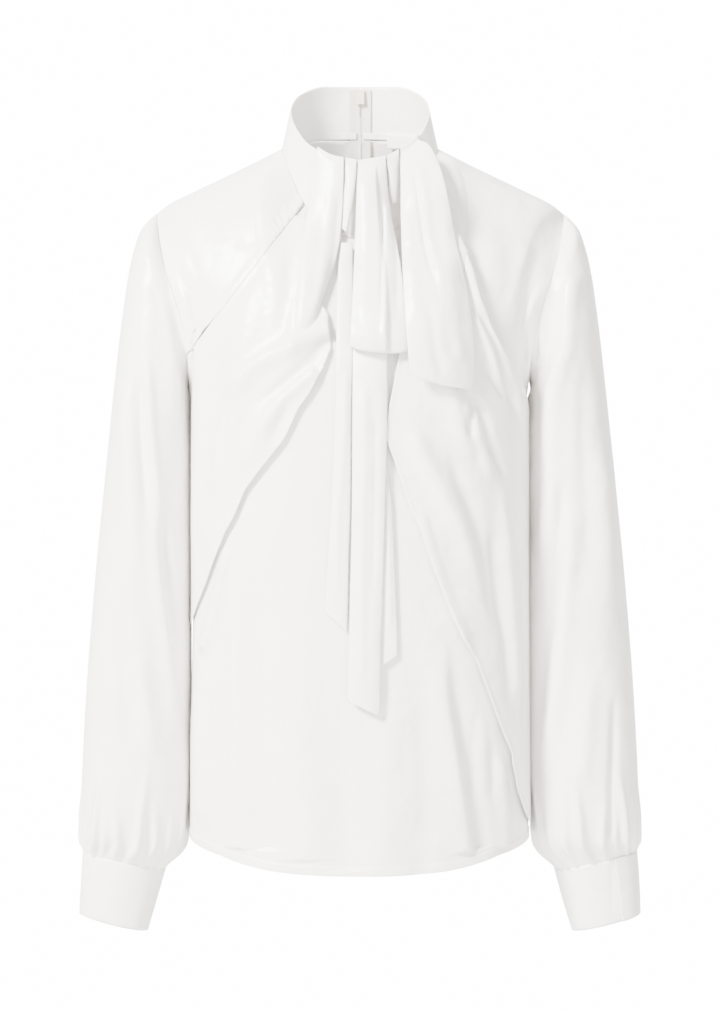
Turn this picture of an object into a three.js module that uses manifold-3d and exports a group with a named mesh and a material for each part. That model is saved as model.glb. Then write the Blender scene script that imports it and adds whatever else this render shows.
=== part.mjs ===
// Tie neck blouse, filled out as worn, with nobody inside.
// Millimetres. Front faces -Y, +X is the right side in the front view, +Z is up.
// The origin is on the body axis at the height where the collar meets the shoulders.
import * as THREE from "three";
import { mergeVertices } from "three/addons/utils/BufferGeometryUtils.js";
import Module from "manifold-3d";

const wasm = await Module();
wasm.setup();

// Cloth walls and the gap left at every seam.
const cloth = 1.6;
const thin = 1.2;
const seam = 0.3;
const shortestEdge = 0.03;
const thinnestFace = 0.012;

// Body rings, used from the bust down to the hem.
const bustZ = -250;
const hemSide = -669.5;
const hemDrop = 27.5;
const ringPower = 2.35;
const bodyRings = {
  z: [-250, -330, -430, -530, -620, -700],
  half: [162.5, 162.5, 162.5, 163, 163.6, 165.6],
  leftMore: [0, 0, 0, 1.4, 1.8, 0.6],
  front: [118, 118, 116, 115, 116, 118],
  back: [102, 100, 98, 99, 101, 103],
};

// Collar: height of the seam line and of the top edge, by angle from the front centre.
const collarLine = {
  angle: [0, 22, 40, 50, 62, 76, 90, 120, 150, 180],
  base: [-95, -86, -66, -50, -27, -7, 1, 10, 15.5, 17],
  top: [-20, -15, -4, 3, 14, 27, 38, 58.6, 70, 71],
};
const collarBase = { half: 75.8, front: 64, back: 68 };
const collarTop = { half: 67.5, front: 58, back: 62 };

// Shoulder seam, from the neck point to the shoulder point.
const shoulderLine = {
  part: [0, 0.25, 0.5, 0.75, 0.92, 1],
  x: [75.8, 107, 137, 168, 190, 200],
  y: [0, 6.5, 10, 12, 14, 15],
  z: [1, -14, -28.2, -43, -53.8, -61.5],
};

// Armhole, from the shoulder point to the underarm, with its front and back halves.
const armhole = {
  part: [0, 0.2, 0.4, 0.6, 0.8, 0.92, 1],
  x: [200, 196, 189, 178.5, 168.5, 165.6, 165.2],
  z: [-61.5, -88, -117, -148, -185, -213, -226],
  front: [15, -14, -36, -49, -47, -25, 6],
  back: [15, 38, 55, 64, 58, 35, 6],
};

// Direction in which the body wall leaves the armhole, from the shoulder point to the underarm.
const armholeWay = {
  part: [0, 0.3, 0.5, 0.7, 0.86, 1],
  x: [-0.435, -0.7, -0.75, -0.65, -0.3, 0],
  y: [0.93, 0.7, 0.6, 0.55, 0.5, 0],
  z: [0.25, -0.1, -0.25, -0.4, -0.75, -1],
};

// Columns of the body wall: neckline up to 25, shoulder seam up to 58, armhole up to 90 degrees.
const neckColumn = 25;
const shoulderColumn = 58;

// Sleeve rings by the outer and the inner point in the front view, with depths to front and back.
const sleeveRings = {
  outerX: [200, 212, 224, 232.6, 240.4, 249.4, 259, 267.4, 271.6, 273.2, 272.8, 271],
  outerZ: [-61.5, -74, -110, -166, -235, -323, -421, -529, -608, -647, -671, -685],
  innerX: [167.8, 167.8, 167.7, 167.5, 167.3, 167.3, 167.5, 167.9, 168.4, 169, 171.5, 191],
  innerZ: [-226, -233, -246, -275, -319, -382, -451, -539, -606, -644, -677, -703],
  front: [-49, -50, -54, -57, -57, -56, -55, -54, -52, -50, -44, -30],
  back: [64, 65, 67, 68, 66, 64, 62, 60, 56, 53, 47, 33],
};

// Cuff: both edges by their outer and inner points, and its half depth.
const cuff = {
  top: { outer: [271, -685.8], inner: [191, -703.8] },
  bottom: { outer: [274.5, -747.2], inner: [208.5, -764.4] },
  depth: [31.5, 29],
  middleY: 1.5,
  overlap: 16,
};

// Gathers over each cuff: turn around the wrist, height of the crease, depth.
const gathers = {
  turn: [8, 25, 46, 62, 80, 96, 117, 134, 151, 170, 188, 207, 224, 243, 262, 281, 299, 317, 336, 352],
  reach: [50, 34, 62, 28, 45, 66, 38, 30, 48, 36, 58, 30, 44, 62, 34, 50, 28, 56, 40, 32],
  depth: [3.2, 2.2, 3.6, 2, 2.8, 3.6, 2.4, 2.2, 3, 2.2, 3.4, 2.2, 2.8, 3.6, 2.4, 3, 2, 3.2, 2.6, 2.2],
};

// Slanted seam of the shoulder piece on the left, and the folded edge over the one on the right.
const yokeSeamLeft = [
  [-50, -46],
  [-55, -59.5],
  [-90.5, -110],
  [-128.5, -159],
  [-169, -206],
  [-200, -240],
];
const yokeSeamRight = [
  [60, -40],
  [72, -68],
  [88, -110],
  [103, -160],
  [124, -205],
  [143, -240],
  [172, -282],
];

// Outline of each loose over-panel in the front view.
const drapeLeftOutline = [
  [-62.6, -70.5],
  [-90.8, -110.5],
  [-128.8, -159.5],
  [-166, -203.5],
  [-166.6, -212],
  [-166.9, -228],
  [-230, -232],
  [-230, -474],
  [-166.8, -474],
  [-145.1, -425.8],
  [-124.8, -374.3],
  [-116.4, -359.3],
  [-106.1, -334],
  [-93.9, -317.1],
  [-70.4, -287],
  [-56.3, -257],
  [-46.9, -243.9],
  [-35.7, -223.2],
  [-28.2, -204],
  [-22.5, -188.5],
  [-25.3, -176],
  [-33, -166],
  [-44, -150],
  [-47, -110],
  [-48.5, -88],
  [-52, -76],
];
const drapeRightOutline = [
  [60, -86],
  [76, -64],
  [84, -64],
  [89.8, -80.5],
  [95.3, -100.3],
  [106.2, -134.6],
  [110.8, -154],
  [120.1, -177.8],
  [132.5, -201.3],
  [144.4, -221.7],
  [154.8, -240.1],
  [163, -262],
  [230, -275],
  [230, -667],
  [166.4, -664.3],
  [153.7, -644],
  [145.2, -620.4],
  [139.9, -588],
  [125.9, -548.8],
  [106.6, -494.3],
  [93.9, -474.8],
  [84.5, -453.2],
  [67.6, -409.1],
  [53.5, -365],
  [46.9, -352.8],
  [34.7, -315.2],
  [23.5, -284.2],
  [27, -255],
  [36, -210],
  [44, -150],
];

// Folds of the body, left over-panel and right over-panel in the front view:
// points of the crease line, its half width and its height (minus is a trough).
const bodyFolds = [
  { line: [[93, -470], [101, -560], [106, -660]], width: 9, height: 3.5 },
  { line: [[112, -540], [118, -610], [120, -690]], width: 7, height: 3 },
  { line: [[104, -520], [111, -600], [113, -690]], width: 5, height: -2.5 },
  { line: [[-122, -375], [-143, -445], [-155, -520], [-158, -600]], width: 9, height: 4 },
  { line: [[-60, -520], [-64, -600], [-60, -690]], width: 16, height: 1.6 },
  { line: [[40, -560], [48, -620], [46, -690]], width: 16, height: 1.8 },
];
const leftFolds = [
  { line: [[-28, -200], [-52, -222], [-82, -240], [-105, -262]], width: 6, height: -4 },
  { line: [[-40, -186], [-62, -196], [-92, -206], [-118, -235], [-132, -290]], width: 12, height: 5 },
  { line: [[-36, -225], [-56, -240], [-80, -262], [-104, -302]], width: 6, height: 3.5 },
  { line: [[-104, -136], [-112, -200], [-118, -300], [-138, -400]], width: 15, height: 3.5 },
  { line: [[-84, -118], [-86, -170], [-92, -215]], width: 8, height: -2 },
  { line: [[-136, -176], [-140, -250], [-150, -350]], width: 10, height: -2 },
];
const rightFolds = [
  { line: [[107, -150], [116, -190], [126, -213], [136, -240]], width: 5, height: 5 },
  { line: [[112, -214], [122, -245], [130, -275], [137, -320]], width: 6, height: 5 },
  { line: [[104, -200], [103, -240], [94, -275], [76, -305]], width: 8, height: 4.5 },
  { line: [[98, -216], [88, -260], [60, -282], [40, -300]], width: 7, height: 3 },
  { line: [[62, -306], [84, -336], [104, -372], [118, -430], [122, -490]], width: 13, height: 6 },
  { line: [[128, -238], [144, -262], [152, -300], [156, -360]], width: 6, height: 4 },
  { line: [[70, -330], [96, -400], [120, -480], [140, -560]], width: 10, height: -2.5 },
  { line: [[150, -420], [150, -520], [150, -620]], width: 8, height: 5 },
  { line: [[104, -452], [124, -510], [142, -575], [156, -630]], width: 7, height: 3 },
];
const backFolds = [
  { line: [[-60, -180], [-70, -330], [-66, -520]], width: 20, height: 3 },
  { line: [[55, -200], [68, -360], [60, -560]], width: 18, height: 3.4 },
  { line: [[112, -260], [116, -420], [110, -640]], width: 14, height: 3 },
  { line: [[-118, -250], [-120, -450], [-112, -620]], width: 15, height: 3.2 },
  { line: [[20, -380], [24, -520], [18, -690]], width: 16, height: 2.4 },
];

// Hanging tie pieces, a row per height: left point, right point, lift off the front, fullness.
const bandLeftRows = [
  { a: [-47.8, -47], b: [-16.2, -50], lift: 8, full: 4 },
  { a: [-52.3, -84], b: [-18.5, -88], lift: 10, full: 5 },
  { a: [-56.5, -118], b: [-24, -118], lift: 9.5, full: 5.5 },
  { a: [-60, -148], b: [-33, -145], lift: 8, full: 6 },
  { a: [-62.5, -172], b: [-41, -168], lift: 6.5, full: 5.5 },
  { a: [-63.5, -190], b: [-46.5, -186], lift: 5, full: 3.5 },
];
const foldLeftRows = [
  { a: [-13.6, -34], b: [-4, -36], lift: 8, full: 2 },
  { a: [-15, -52], b: [-6.5, -56], lift: 9, full: 2 },
  { a: [-15.6, -70], b: [-10, -74], lift: 9.5, full: 1.5 },
  { a: [-16.5, -84], b: [-13, -88], lift: 9.5, full: 1 },
];
const loopFrontRows = [
  { a: [-2.6, -42], b: [26, -40], lift: 11, full: 4 },
  { a: [-3.4, -66], b: [29, -66], lift: 15.5, full: 4 },
  { a: [-4.6, -100], b: [35, -100], lift: 18, full: 4 },
  { a: [-6, -132], b: [40, -132], lift: 19, full: 4 },
  { a: [-7.5, -164], b: [43, -166], lift: 19, full: 4 },
  { a: [-9.2, -188], b: [45, -192], lift: 19, full: 4 },
];
const foldRightRows = [
  { a: [27.4, -34], b: [37.5, -30], lift: 5.5, full: 2 },
  { a: [28.2, -48], b: [36.5, -44], lift: 7, full: 2 },
  { a: [30.5, -60], b: [35, -58], lift: 8, full: 1 },
];
const endRightRows = [
  { a: [39, -24], b: [65, 0], depth: [-65, -49], full: 3 },
  { a: [39, -44], b: [76, -24], depth: [-79, -70], full: 4 },
  { a: [39, -68], b: [83.5, -58], depth: [-88, -92], full: 4.5 },
  { a: [39.6, -96], b: [90, -92], lift: [23, 13], full: 5 },
  { a: [40.6, -132], b: [97.5, -128], lift: [24.5, 14], full: 4.5 },
  { a: [42.3, -168], b: [104, -164], lift: [24.5, 15], full: 4 },
  { a: [44.5, -200], b: [108, -200], lift: [24, 16], full: 3.5 },
  { a: [46.7, -222], b: [108.4, -226], lift: [23.5, 16], full: 3 },
  { a: [52, -227.5], b: [107.2, -234.5], lift: [23.5, 16], full: 2.5 },
  { a: [76, -236], b: [103.5, -240], lift: [21, 17], full: 1.5 },
];
const tailLeftRows = [
  { a: [-17.5, -98], b: [-7.4, -98], lift: 8.5, full: 1 },
  { a: [-20.5, -128], b: [-7, -128], lift: 8.8, full: 1.5 },
  { a: [-21.6, -160], b: [-6.8, -160], lift: 9, full: 1.5 },
  { a: [-22.1, -205], b: [-7.3, -205], lift: 8.8, full: 1.5 },
  { a: [-22.5, -250], b: [-8.4, -250], lift: 6.5, full: 1.5 },
  { a: [-26.3, -343], b: [-9, -343], lift: 5, full: 2 },
  { a: [-30, -405], b: [-10.8, -405], lift: 5, full: 2 },
  { a: [-32.2, -436], b: [-11.6, -448], lift: 5, full: 2 },
  { a: [-32.8, -448], b: [-12.6, -467], lift: 5, full: 1.5 },
];
const tailCentreRows = [
  { a: [-5, -110], b: [22, -110], lift: 7.5, full: 1 },
  { a: [-6, -156], b: [24, -156], lift: 8.5, full: 1.5 },
  { a: [-6.6, -205], b: [25.6, -205], lift: 8.5, full: 2 },
  { a: [-6.8, -260], b: [25.4, -260], lift: 9, full: 3 },
  { a: [-7.2, -343], b: [23.6, -343], lift: 8.5, full: 3 },
  { a: [-9.2, -437], b: [20.8, -437], lift: 8, full: 3 },
  { a: [-10.6, -500], b: [19, -504], lift: 8, full: 3 },
  { a: [-11.2, -528], b: [18.7, -540], lift: 8, full: 2.5 },
  { a: [-10, -532], b: [17, -545.5], lift: 8, full: 2 },
];
const tailRightRows = [
  { a: [10, -262], b: [20.5, -266], lift: 9.1, full: 0 },
  { a: [11, -290], b: [21.5, -292], lift: 5, full: 0.8 },
  { a: [13, -343], b: [29.3, -343], lift: 4, full: 1 },
  { a: [15, -437], b: [33.6, -437], lift: 4, full: 1 },
  { a: [17.5, -480], b: [35, -480], lift: 4, full: 1 },
  { a: [18.8, -501], b: [34.9, -489], lift: 4, full: 1 },
];

// Zip at the centre back.
const zip = {
  top: 68,
  bottom: -230,
  half: 11,
  sliderZ: 60,
  neck: 1.2,
  pinRadius: 0.65,
  pinZ: 62,
  pinOff: 3.4,
};

const degrees = Math.PI / 180;
const clamp = (v, a, b) => Math.min(b, Math.max(a, v));
const mix = (a, b, t) => a + (b - a) * t;
const mixPoint = (a, b, t) => a.map((v, i) => mix(v, b[i], t));
const soft = (t) => {
  const c = clamp(t, 0, 1);
  return c * c * (3 - 2 * c);
};

// Smooth curve through a table, with no overshoot between its rows.
function curve(xs, ys, x) {
  const n = xs.length;
  const t = clamp(x, xs[0], xs[n - 1]);
  let i = 0;
  while (i < n - 2 && t > xs[i + 1]) i++;
  const rise = (j) => (ys[j + 1] - ys[j]) / (xs[j + 1] - xs[j]);
  const slope = (j) => {
    if (j === 0) return rise(0);
    if (j === n - 1) return rise(n - 2);
    const a = rise(j - 1);
    const b = rise(j);
    return a * b <= 0 ? 0 : (2 * a * b) / (a + b);
  };
  const h = xs[i + 1] - xs[i];
  const s = (t - xs[i]) / h;
  const first = ys[i] * (1 + 2 * s) * (1 - s) ** 2 + slope(i) * h * s * (1 - s) ** 2;
  return first + ys[i + 1] * s * s * (3 - 2 * s) + slope(i + 1) * h * s * s * (s - 1);
}

const powered = (v, p) => Math.sign(v) * Math.abs(v) ** p;

// Point of the collar wall at an angle from the front centre, from seam (0) to top edge (1).
function collarPoint(angle, part) {
  const a = Math.abs(angle);
  const side = Math.sign(angle) || 1;
  const half = mix(collarBase.half, collarTop.half, part);
  const front = mix(collarBase.front, collarTop.front, part);
  const back = mix(collarBase.back, collarTop.back, part);
  const c = Math.cos(a * degrees);
  const low = curve(collarLine.angle, collarLine.base, a);
  const high = curve(collarLine.angle, collarLine.top, a);
  const y = c > 0 ? -front * c : -back * c;
  return [side * half * Math.sin(a * degrees), y, mix(low, high, part)];
}

// Body ring point at a column and a height.
function ringPoint(column, z) {
  const a = Math.min(Math.abs(column), 180 - Math.abs(column));
  const isFront = Math.abs(column) <= 90;
  const turn = a < shoulderColumn ? a - (8 * Math.max(0, a - neckColumn)) / 33 : 50 + (a - 58) * 1.25;
  const half = curve(bodyRings.z.map((v) => -v), bodyRings.half, -z);
  const depth = curve(bodyRings.z.map((v) => -v), isFront ? bodyRings.front : bodyRings.back, -z);
  const p = 2 / ringPower;
  const x = half * powered(Math.sin(turn * degrees), p);
  const y = depth * powered(Math.cos(turn * degrees), p);
  const more = column < 0 ? curve(bodyRings.z.map((v) => -v), bodyRings.leftMore, -z) : 0;
  return [Math.sign(column) * x * (1 + more / half), isFront ? -y : y, z];
}

// Top edge of the body wall at a column, with the direction in which the wall leaves it.
function topEdge(column) {
  const a = Math.min(Math.abs(column), 180 - Math.abs(column));
  const isFront = Math.abs(column) <= 90;
  const side = Math.sign(column) || 1;
  if (a <= neckColumn) {
    const turn = (a * 90) / neckColumn;
    const p = collarPoint(side * (isFront ? turn : 180 - turn), 0);
    const s = a / neckColumn;
    const across = side * (isFront ? 0.65 : 0.2) * Math.sin(turn * degrees);
    const out = isFront ? -0.45 - 0.15 * s : 0.3 + 0.7 * s;
    return { point: p, way: [across, out, isFront ? mix(-0.9, -0.375, s) : mix(-0.95, -0.12, s)] };
  }
  if (a <= shoulderColumn) {
    const s = (a - neckColumn) / (shoulderColumn - neckColumn);
    const row = ["x", "y", "z"].map((k) => curve(shoulderLine.part, shoulderLine[k], s));
    const lean = mix(isFront ? -0.75 : -0.2, 0.5, s);
    const out = isFront ? mix(-0.6, -0.93, s) : mix(1, 0.93, s);
    return { point: [side * row[0], row[1], row[2]], way: [-side * 0.87 * lean, out, 0.5 * lean] };
  }
  const t = (a - shoulderColumn) / (90 - shoulderColumn);
  const row = ["x", isFront ? "front" : "back", "z"].map((k) => curve(armhole.part, armhole[k], t));
  const [x, y, z] = ["x", "y", "z"].map((k) => curve(armholeWay.part, armholeWay[k], t));
  const ahead = isFront ? -1 : mix(1, 0.6, soft(t * 3));
  return { point: [side * row[0], row[1], row[2]], way: [side * x, ahead * y, z] };
}

// Body wall without folds: from its top edge (0) over the bust ring (1) to the hem (2).
function plainBody(column, part) {
  if (part >= 1) {
    const c = Math.abs(Math.cos(column * degrees)) ** 1.3;
    const hem = hemSide - hemDrop * c;
    return ringPoint(column, mix(bustZ, hem, part - 1));
  }
  const top = topEdge(column);
  const low = ringPoint(column, bustZ);
  const reach = Math.hypot(...low.map((v, i) => v - top.point[i]));
  const s = part;
  const a = (1 + 2 * s) * (1 - s) ** 2;
  const b = s * (1 - s) ** 2;
  const c = s * s * (3 - 2 * s);
  const d = s * s * (s - 1);
  const down = [0, 0, -1];
  return low.map((v, i) => a * top.point[i] + b * reach * top.way[i] + c * v + d * reach * down[i]);
}

// Height of a set of folds at a point of the front or back view.
function foldHeight(folds, x, z) {
  let sum = 0;
  for (const fold of folds) {
    let best = Infinity;
    let along = 0;
    const n = fold.line.length - 1;
    for (let i = 0; i < n; i++) {
      const [ax, az] = fold.line[i];
      const [bx, bz] = fold.line[i + 1];
      const len = (bx - ax) ** 2 + (bz - az) ** 2;
      const s = clamp(((x - ax) * (bx - ax) + (z - az) * (bz - az)) / len, 0, 1);
      const off = Math.hypot(x - mix(ax, bx, s), z - mix(az, bz, s));
      if (off < best) {
        best = off;
        along = (i + s) / n;
      }
    }
    const fade = 0.25 + 0.75 * Math.sin(Math.PI * clamp(along, 0.02, 0.98));
    sum += fold.height * fade * Math.exp(-((best / fold.width) ** 2));
  }
  return sum;
}

// Direction off a surface, from its neighbours.
function normalOf(surface, u, v, eu, ev) {
  const a = surface(u - eu, v);
  const b = surface(u + eu, v);
  const c = surface(u, v - ev);
  const d = surface(u, v + ev);
  const s = b.map((p, i) => p - a[i]);
  const t = d.map((p, i) => p - c[i]);
  const n = [s[1] * t[2] - s[2] * t[1], s[2] * t[0] - s[0] * t[2], s[0] * t[1] - s[1] * t[0]];
  const size = Math.hypot(...n) || 1;
  return n.map((p) => p / size);
}

// Outward direction of the body wall.
function bodyNormal(column, part) {
  const safe = clamp(column, -179.4, 179.4);
  const v = clamp(part, 0.012, 1.99);
  return normalOf(plainBody, safe, v, 0.5, 0.01).map((q) => -q);
}

// The same, but shared by front and back where they meet along the shoulder seam.
function seamNormal(column, part) {
  const a = Math.min(Math.abs(column), 180 - Math.abs(column));
  const n = bodyNormal(column, part);
  if (part > 0.01 || a < neckColumn - 1 || a > shoulderColumn + 1) return n;
  const s = clamp((a - neckColumn) / (shoulderColumn - neckColumn), 0.02, 0.98);
  const dx = curve(shoulderLine.part, shoulderLine.x, s + 0.02) - curve(shoulderLine.part, shoulderLine.x, s - 0.02);
  const dz = curve(shoulderLine.part, shoulderLine.z, s + 0.02) - curve(shoulderLine.part, shoulderLine.z, s - 0.02);
  const size = Math.hypot(dx, dz);
  return [(-Math.sign(column) * dz) / size, 0, dx / size];
}

// Body wall with folds, moved off by a lift.
function bodyPoint(column, part, lift = 0) {
  const p = plainBody(column, part);
  const folds = Math.abs(column) <= 90 ? bodyFolds : backFolds;
  const calm = soft((part - 0.1) * 3) * soft((88 - Math.min(Math.abs(column), 180 - Math.abs(column))) / 14 + 0.1);
  const middle = Math.abs(column) > 90 ? soft(Math.abs(p[0]) / 12) : 1;
  const off = lift + foldHeight(folds, p[0], p[2]) * calm * middle;
  const n = bodyNormal(column, part);
  return p.map((v, i) => v + n[i] * off);
}

// Wall from a grid of middle points: rows of points, with the thickness set off both ways.
function wall(rows, thick, closed = false, facing = null) {
  const n = rows[0].length;
  const grid = rows.map((row, r) =>
    row.map((p, c) => {
      const before = closed ? row[(c - 1 + n) % n] : row[Math.max(0, c - 1)];
      const after = closed ? row[(c + 1) % n] : row[Math.min(n - 1, c + 1)];
      const above = rows[Math.max(0, r - 1)][c];
      const below = rows[Math.min(rows.length - 1, r + 1)][c];
      const s = after.map((v, i) => v - before[i]);
      const t = below.map((v, i) => v - above[i]);
      const m = [s[1] * t[2] - s[2] * t[1], s[2] * t[0] - s[0] * t[2], s[0] * t[1] - s[1] * t[0]];
      const size = Math.hypot(...m) || 1;
      const dir = facing ? facing(r, c) : null;
      return { p, n: dir || m.map((v) => v / size) };
    }),
  );
  return gridSolid(grid, thick, closed);
}

function gridSolid(grid, thick, closed) {
  const points = [];
  const faces = [];
  const starts = [];
  for (const row of grid) {
    starts.push(points.length / 3);
    for (const side of [0.5, -0.5]) {
      for (const q of row) points.push(...q.p.map((v, i) => v + q.n[i] * side * thick));
    }
  }
  const at = (r, c, side) => {
    const n = grid[r].length;
    return starts[r] + side * n + (closed ? (c + n) % n : c);
  };
  const quad = (a, b, c, d) => faces.push(a, b, c, a, c, d);
  for (let r = 0; r + 1 < grid.length; r++) {
    const n = grid[r].length;
    const m = grid[r + 1].length;
    const count = closed ? n : n - 1;
    for (let c = 0; c < count; c++) {
      for (const side of [0, 1]) {
        const list = [];
        if (m === n) {
          list.push([at(r, c, side), at(r + 1, c, side), at(r + 1, c + 1, side)]);
          list.push([at(r, c, side), at(r + 1, c + 1, side), at(r, c + 1, side)]);
        } else {
          const f = 2 * c;
          list.push([at(r, c, side), at(r + 1, f, side), at(r + 1, f + 1, side)]);
          list.push([at(r, c, side), at(r + 1, f + 1, side), at(r, c + 1, side)]);
          list.push([at(r, c + 1, side), at(r + 1, f + 1, side), at(r + 1, f + 2, side)]);
        }
        for (const [a, b, d] of list) faces.push(...(side === 0 ? [a, d, b] : [a, b, d]));
      }
    }
    if (!closed) {
      quad(at(r, 0, 0), at(r + 1, 0, 0), at(r + 1, 0, 1), at(r, 0, 1));
      quad(at(r, n - 1, 0), at(r, n - 1, 1), at(r + 1, m - 1, 1), at(r + 1, m - 1, 0));
    }
  }
  const last = grid.length - 1;
  for (const r of [0, last]) {
    const n = grid[r].length;
    const count = closed ? n : n - 1;
    for (let c = 0; c < count; c++) {
      const q = [at(r, c, 0), at(r, c, 1), at(r, c + 1, 1), at(r, c + 1, 0)];
      if (r === 0) q.reverse();
      quad(...q.reverse());
    }
  }
  return solid(points, faces);
}

// Solid from points and faces, turned outward.
function solid(points, faces) {
  const make = (f) =>
    new wasm.Manifold(
      new wasm.Mesh({
        numProp: 3,
        vertProperties: new Float32Array(points),
        triVerts: new Uint32Array(f),
      }),
    );
  const s = make(faces);
  if (s.volume() >= 0) return s;
  const turned = [];
  for (let i = 0; i < faces.length; i += 3) turned.push(faces[i], faces[i + 2], faces[i + 1]);
  return make(turned);
}

// Largest body of a solid: drops crumbs that a cut leaves.
function largest(s) {
  const list = s.simplify(0.03).decompose();
  return list.reduce((a, b) => (b.volume() > a.volume() ? b : a));
}

// Upright prism over an outline of the front view, running front to back.
function prism(outline, yStart, yEnd) {
  let shape = new wasm.CrossSection([outline], "EvenOdd");
  const s = shape.extrude(yEnd - yStart);
  return s.rotate([90, 0, 0]).translate([0, yEnd, 0]);
}

const steps = (a, b, n) => Array.from({ length: n + 1 }, (_, i) => mix(a, b, i / n));

// Height rows of the body wall, closer where it curves.
const upperParts = [0.0008, 0.06, 0.14, 0.24, 0.36, 0.5, 0.66, 0.83];
const lowerParts = [1, 1.13, 1.27, 1.42, 1.58, 1.74, 1.88, 2];
const bodyParts = [...upperParts, ...lowerParts];

// Columns of half the body wall, from the centre to the side seam.
const halfColumns = [4.5, 9.5, 14.7, 20, 25, 32, 40, 49, 58, 64, 70, 77, 84, 89.91];
const mirrored = (list) => list.map((v) => -v).reverse();
const between = (list) => list.flatMap((v, i) => (i ? [(list[i - 1] + v) / 2, v] : [v]));

// Front wall before it is cut into panel and shoulder pieces.
function frontWall(thick = cloth, lift = 0) {
  const columns = [...mirrored(halfColumns), 0, ...halfColumns];
  const rows = bodyParts.map((v) => columns.map((c) => bodyPoint(c, v, lift)));
  return wall(rows, thick, false, (r, c) => seamNormal(columns[c], bodyParts[r]));
}

function backWall(side) {
  const list = [0.07, ...halfColumns].map((v) => 180 - v);
  const columns = side < 0 ? list.map((v) => -v) : [...list].reverse();
  const rows = bodyParts.map((v) => columns.map((c) => bodyPoint(c, v)));
  return wall(rows, cloth, false, (r, c) => seamNormal(columns[c], bodyParts[r]));
}

// Collar wall made thicker and a little lower, to cut the body clear of it.
function collarCutter() {
  const angles = steps(-179.999, 179.999, 40);
  const rows = [-0.007, 0.1, 0.3].map((v) => angles.map((a) => collarPoint(a, v)));
  return wall(rows, cloth + 2 * seam);
}

// The same up to the top edge, to cut what lies over the collar clear of it.
function collarThick() {
  const angles = steps(-179.999, 179.999, 40);
  const rows = [-0.006, 0.33, 0.67, 1.005].map((v) => angles.map((a) => collarPoint(a, v)));
  return wall(rows, cloth + 2 * seam);
}

// Region above a slanted seam, as an outline that runs out past the wall.
function aboveSeam(line, side, gap) {
  const moved = line.map(([x, z]) => [x + side * gap * 0.8, z + gap * 0.6]);
  const first = moved[0];
  const last = moved[moved.length - 1];
  return [[first[0], 60], ...moved, [side * 260, last[1]], [side * 260, 60]];
}

// Front panel and shoulder pieces.
function frontPieces() {
  const whole = clearOf(frontWall(), [collarCutter()]);
  const yokes = {};
  let panel = whole;
  for (const [name, line, side] of [
    ["yoke_left", yokeSeamLeft, -1],
    ["yoke_right", yokeSeamRight, 1],
  ]) {
    const upper = prism(aboveSeam(line, side, seam / 2), -300, 60);
    const wide = prism(aboveSeam(line, side, -seam / 2), -300, 60);
    yokes[name] = largest(whole.intersect(upper));
    panel = panel.subtract(wide);
  }
  return { ...yokes, front_panel: largest(panel) };
}

// Distance in the front view to a line of points.
function distanceTo(line, x, z) {
  let best = Infinity;
  for (let i = 0; i + 1 < line.length; i++) {
    const [ax, az] = line[i];
    const [bx, bz] = line[i + 1];
    const len = (bx - ax) ** 2 + (bz - az) ** 2;
    const s = clamp(((x - ax) * (bx - ax) + (z - az) * (bz - az)) / len, 0, 1);
    best = Math.min(best, Math.hypot(x - mix(ax, bx, s), z - mix(az, bz, s)));
  }
  return best;
}

// Lift of an over-panel off the front panel.
function drapeLift(side, column, part) {
  const p = plainBody(column, part);
  const low = cloth + seam + 0.15 + 1.6 * soft((p[2] + 125) / 60);
  const fromSide = soft((90 - Math.abs(column)) / 30);
  if (side < 0) {
    const off = soft(distanceTo(yokeSeamLeft, p[0], p[2]) / 45);
    const lower = soft((p[2] + 480) / 120);
    const rise = 4 * off * fromSide * (0.35 + 0.65 * lower);
    return Math.max(low, low + rise + foldHeight(leftFolds, p[0], p[2]) * off * fromSide * 0.9);
  }
  const rise = 5 * fromSide * soft((-50 - p[2]) / 60);
  return Math.max(low, low + rise + foldHeight(rightFolds, p[0], p[2]) * fromSide);
}

function drapeWall(side, thick = thin + 0.2) {
  const half = halfColumns.filter((v) => v > 7);
  const wide = half.filter((v) => v > 31 && v < 60);
  const extra = between(wide).filter((v) => !half.includes(v));
  const sorted = [...half, ...extra].sort((a, b) => a - b);
  const columns = side < 0 ? mirrored(sorted) : [4.5, ...sorted];
  const low = bodyParts.filter((v) => v > 0.05 && v < (side < 0 ? 1.5 : 3));
  const tall = between(low.filter((v) => v > 0.4 && v < 1.15));
  const parts = [...new Set([...low, ...tall])].sort((a, b) => a - b);
  const rows = parts.map((v) => columns.map((c) => bodyPoint(c, v, drapeLift(side, c, v))));
  return wall(rows, thick);
}

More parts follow.
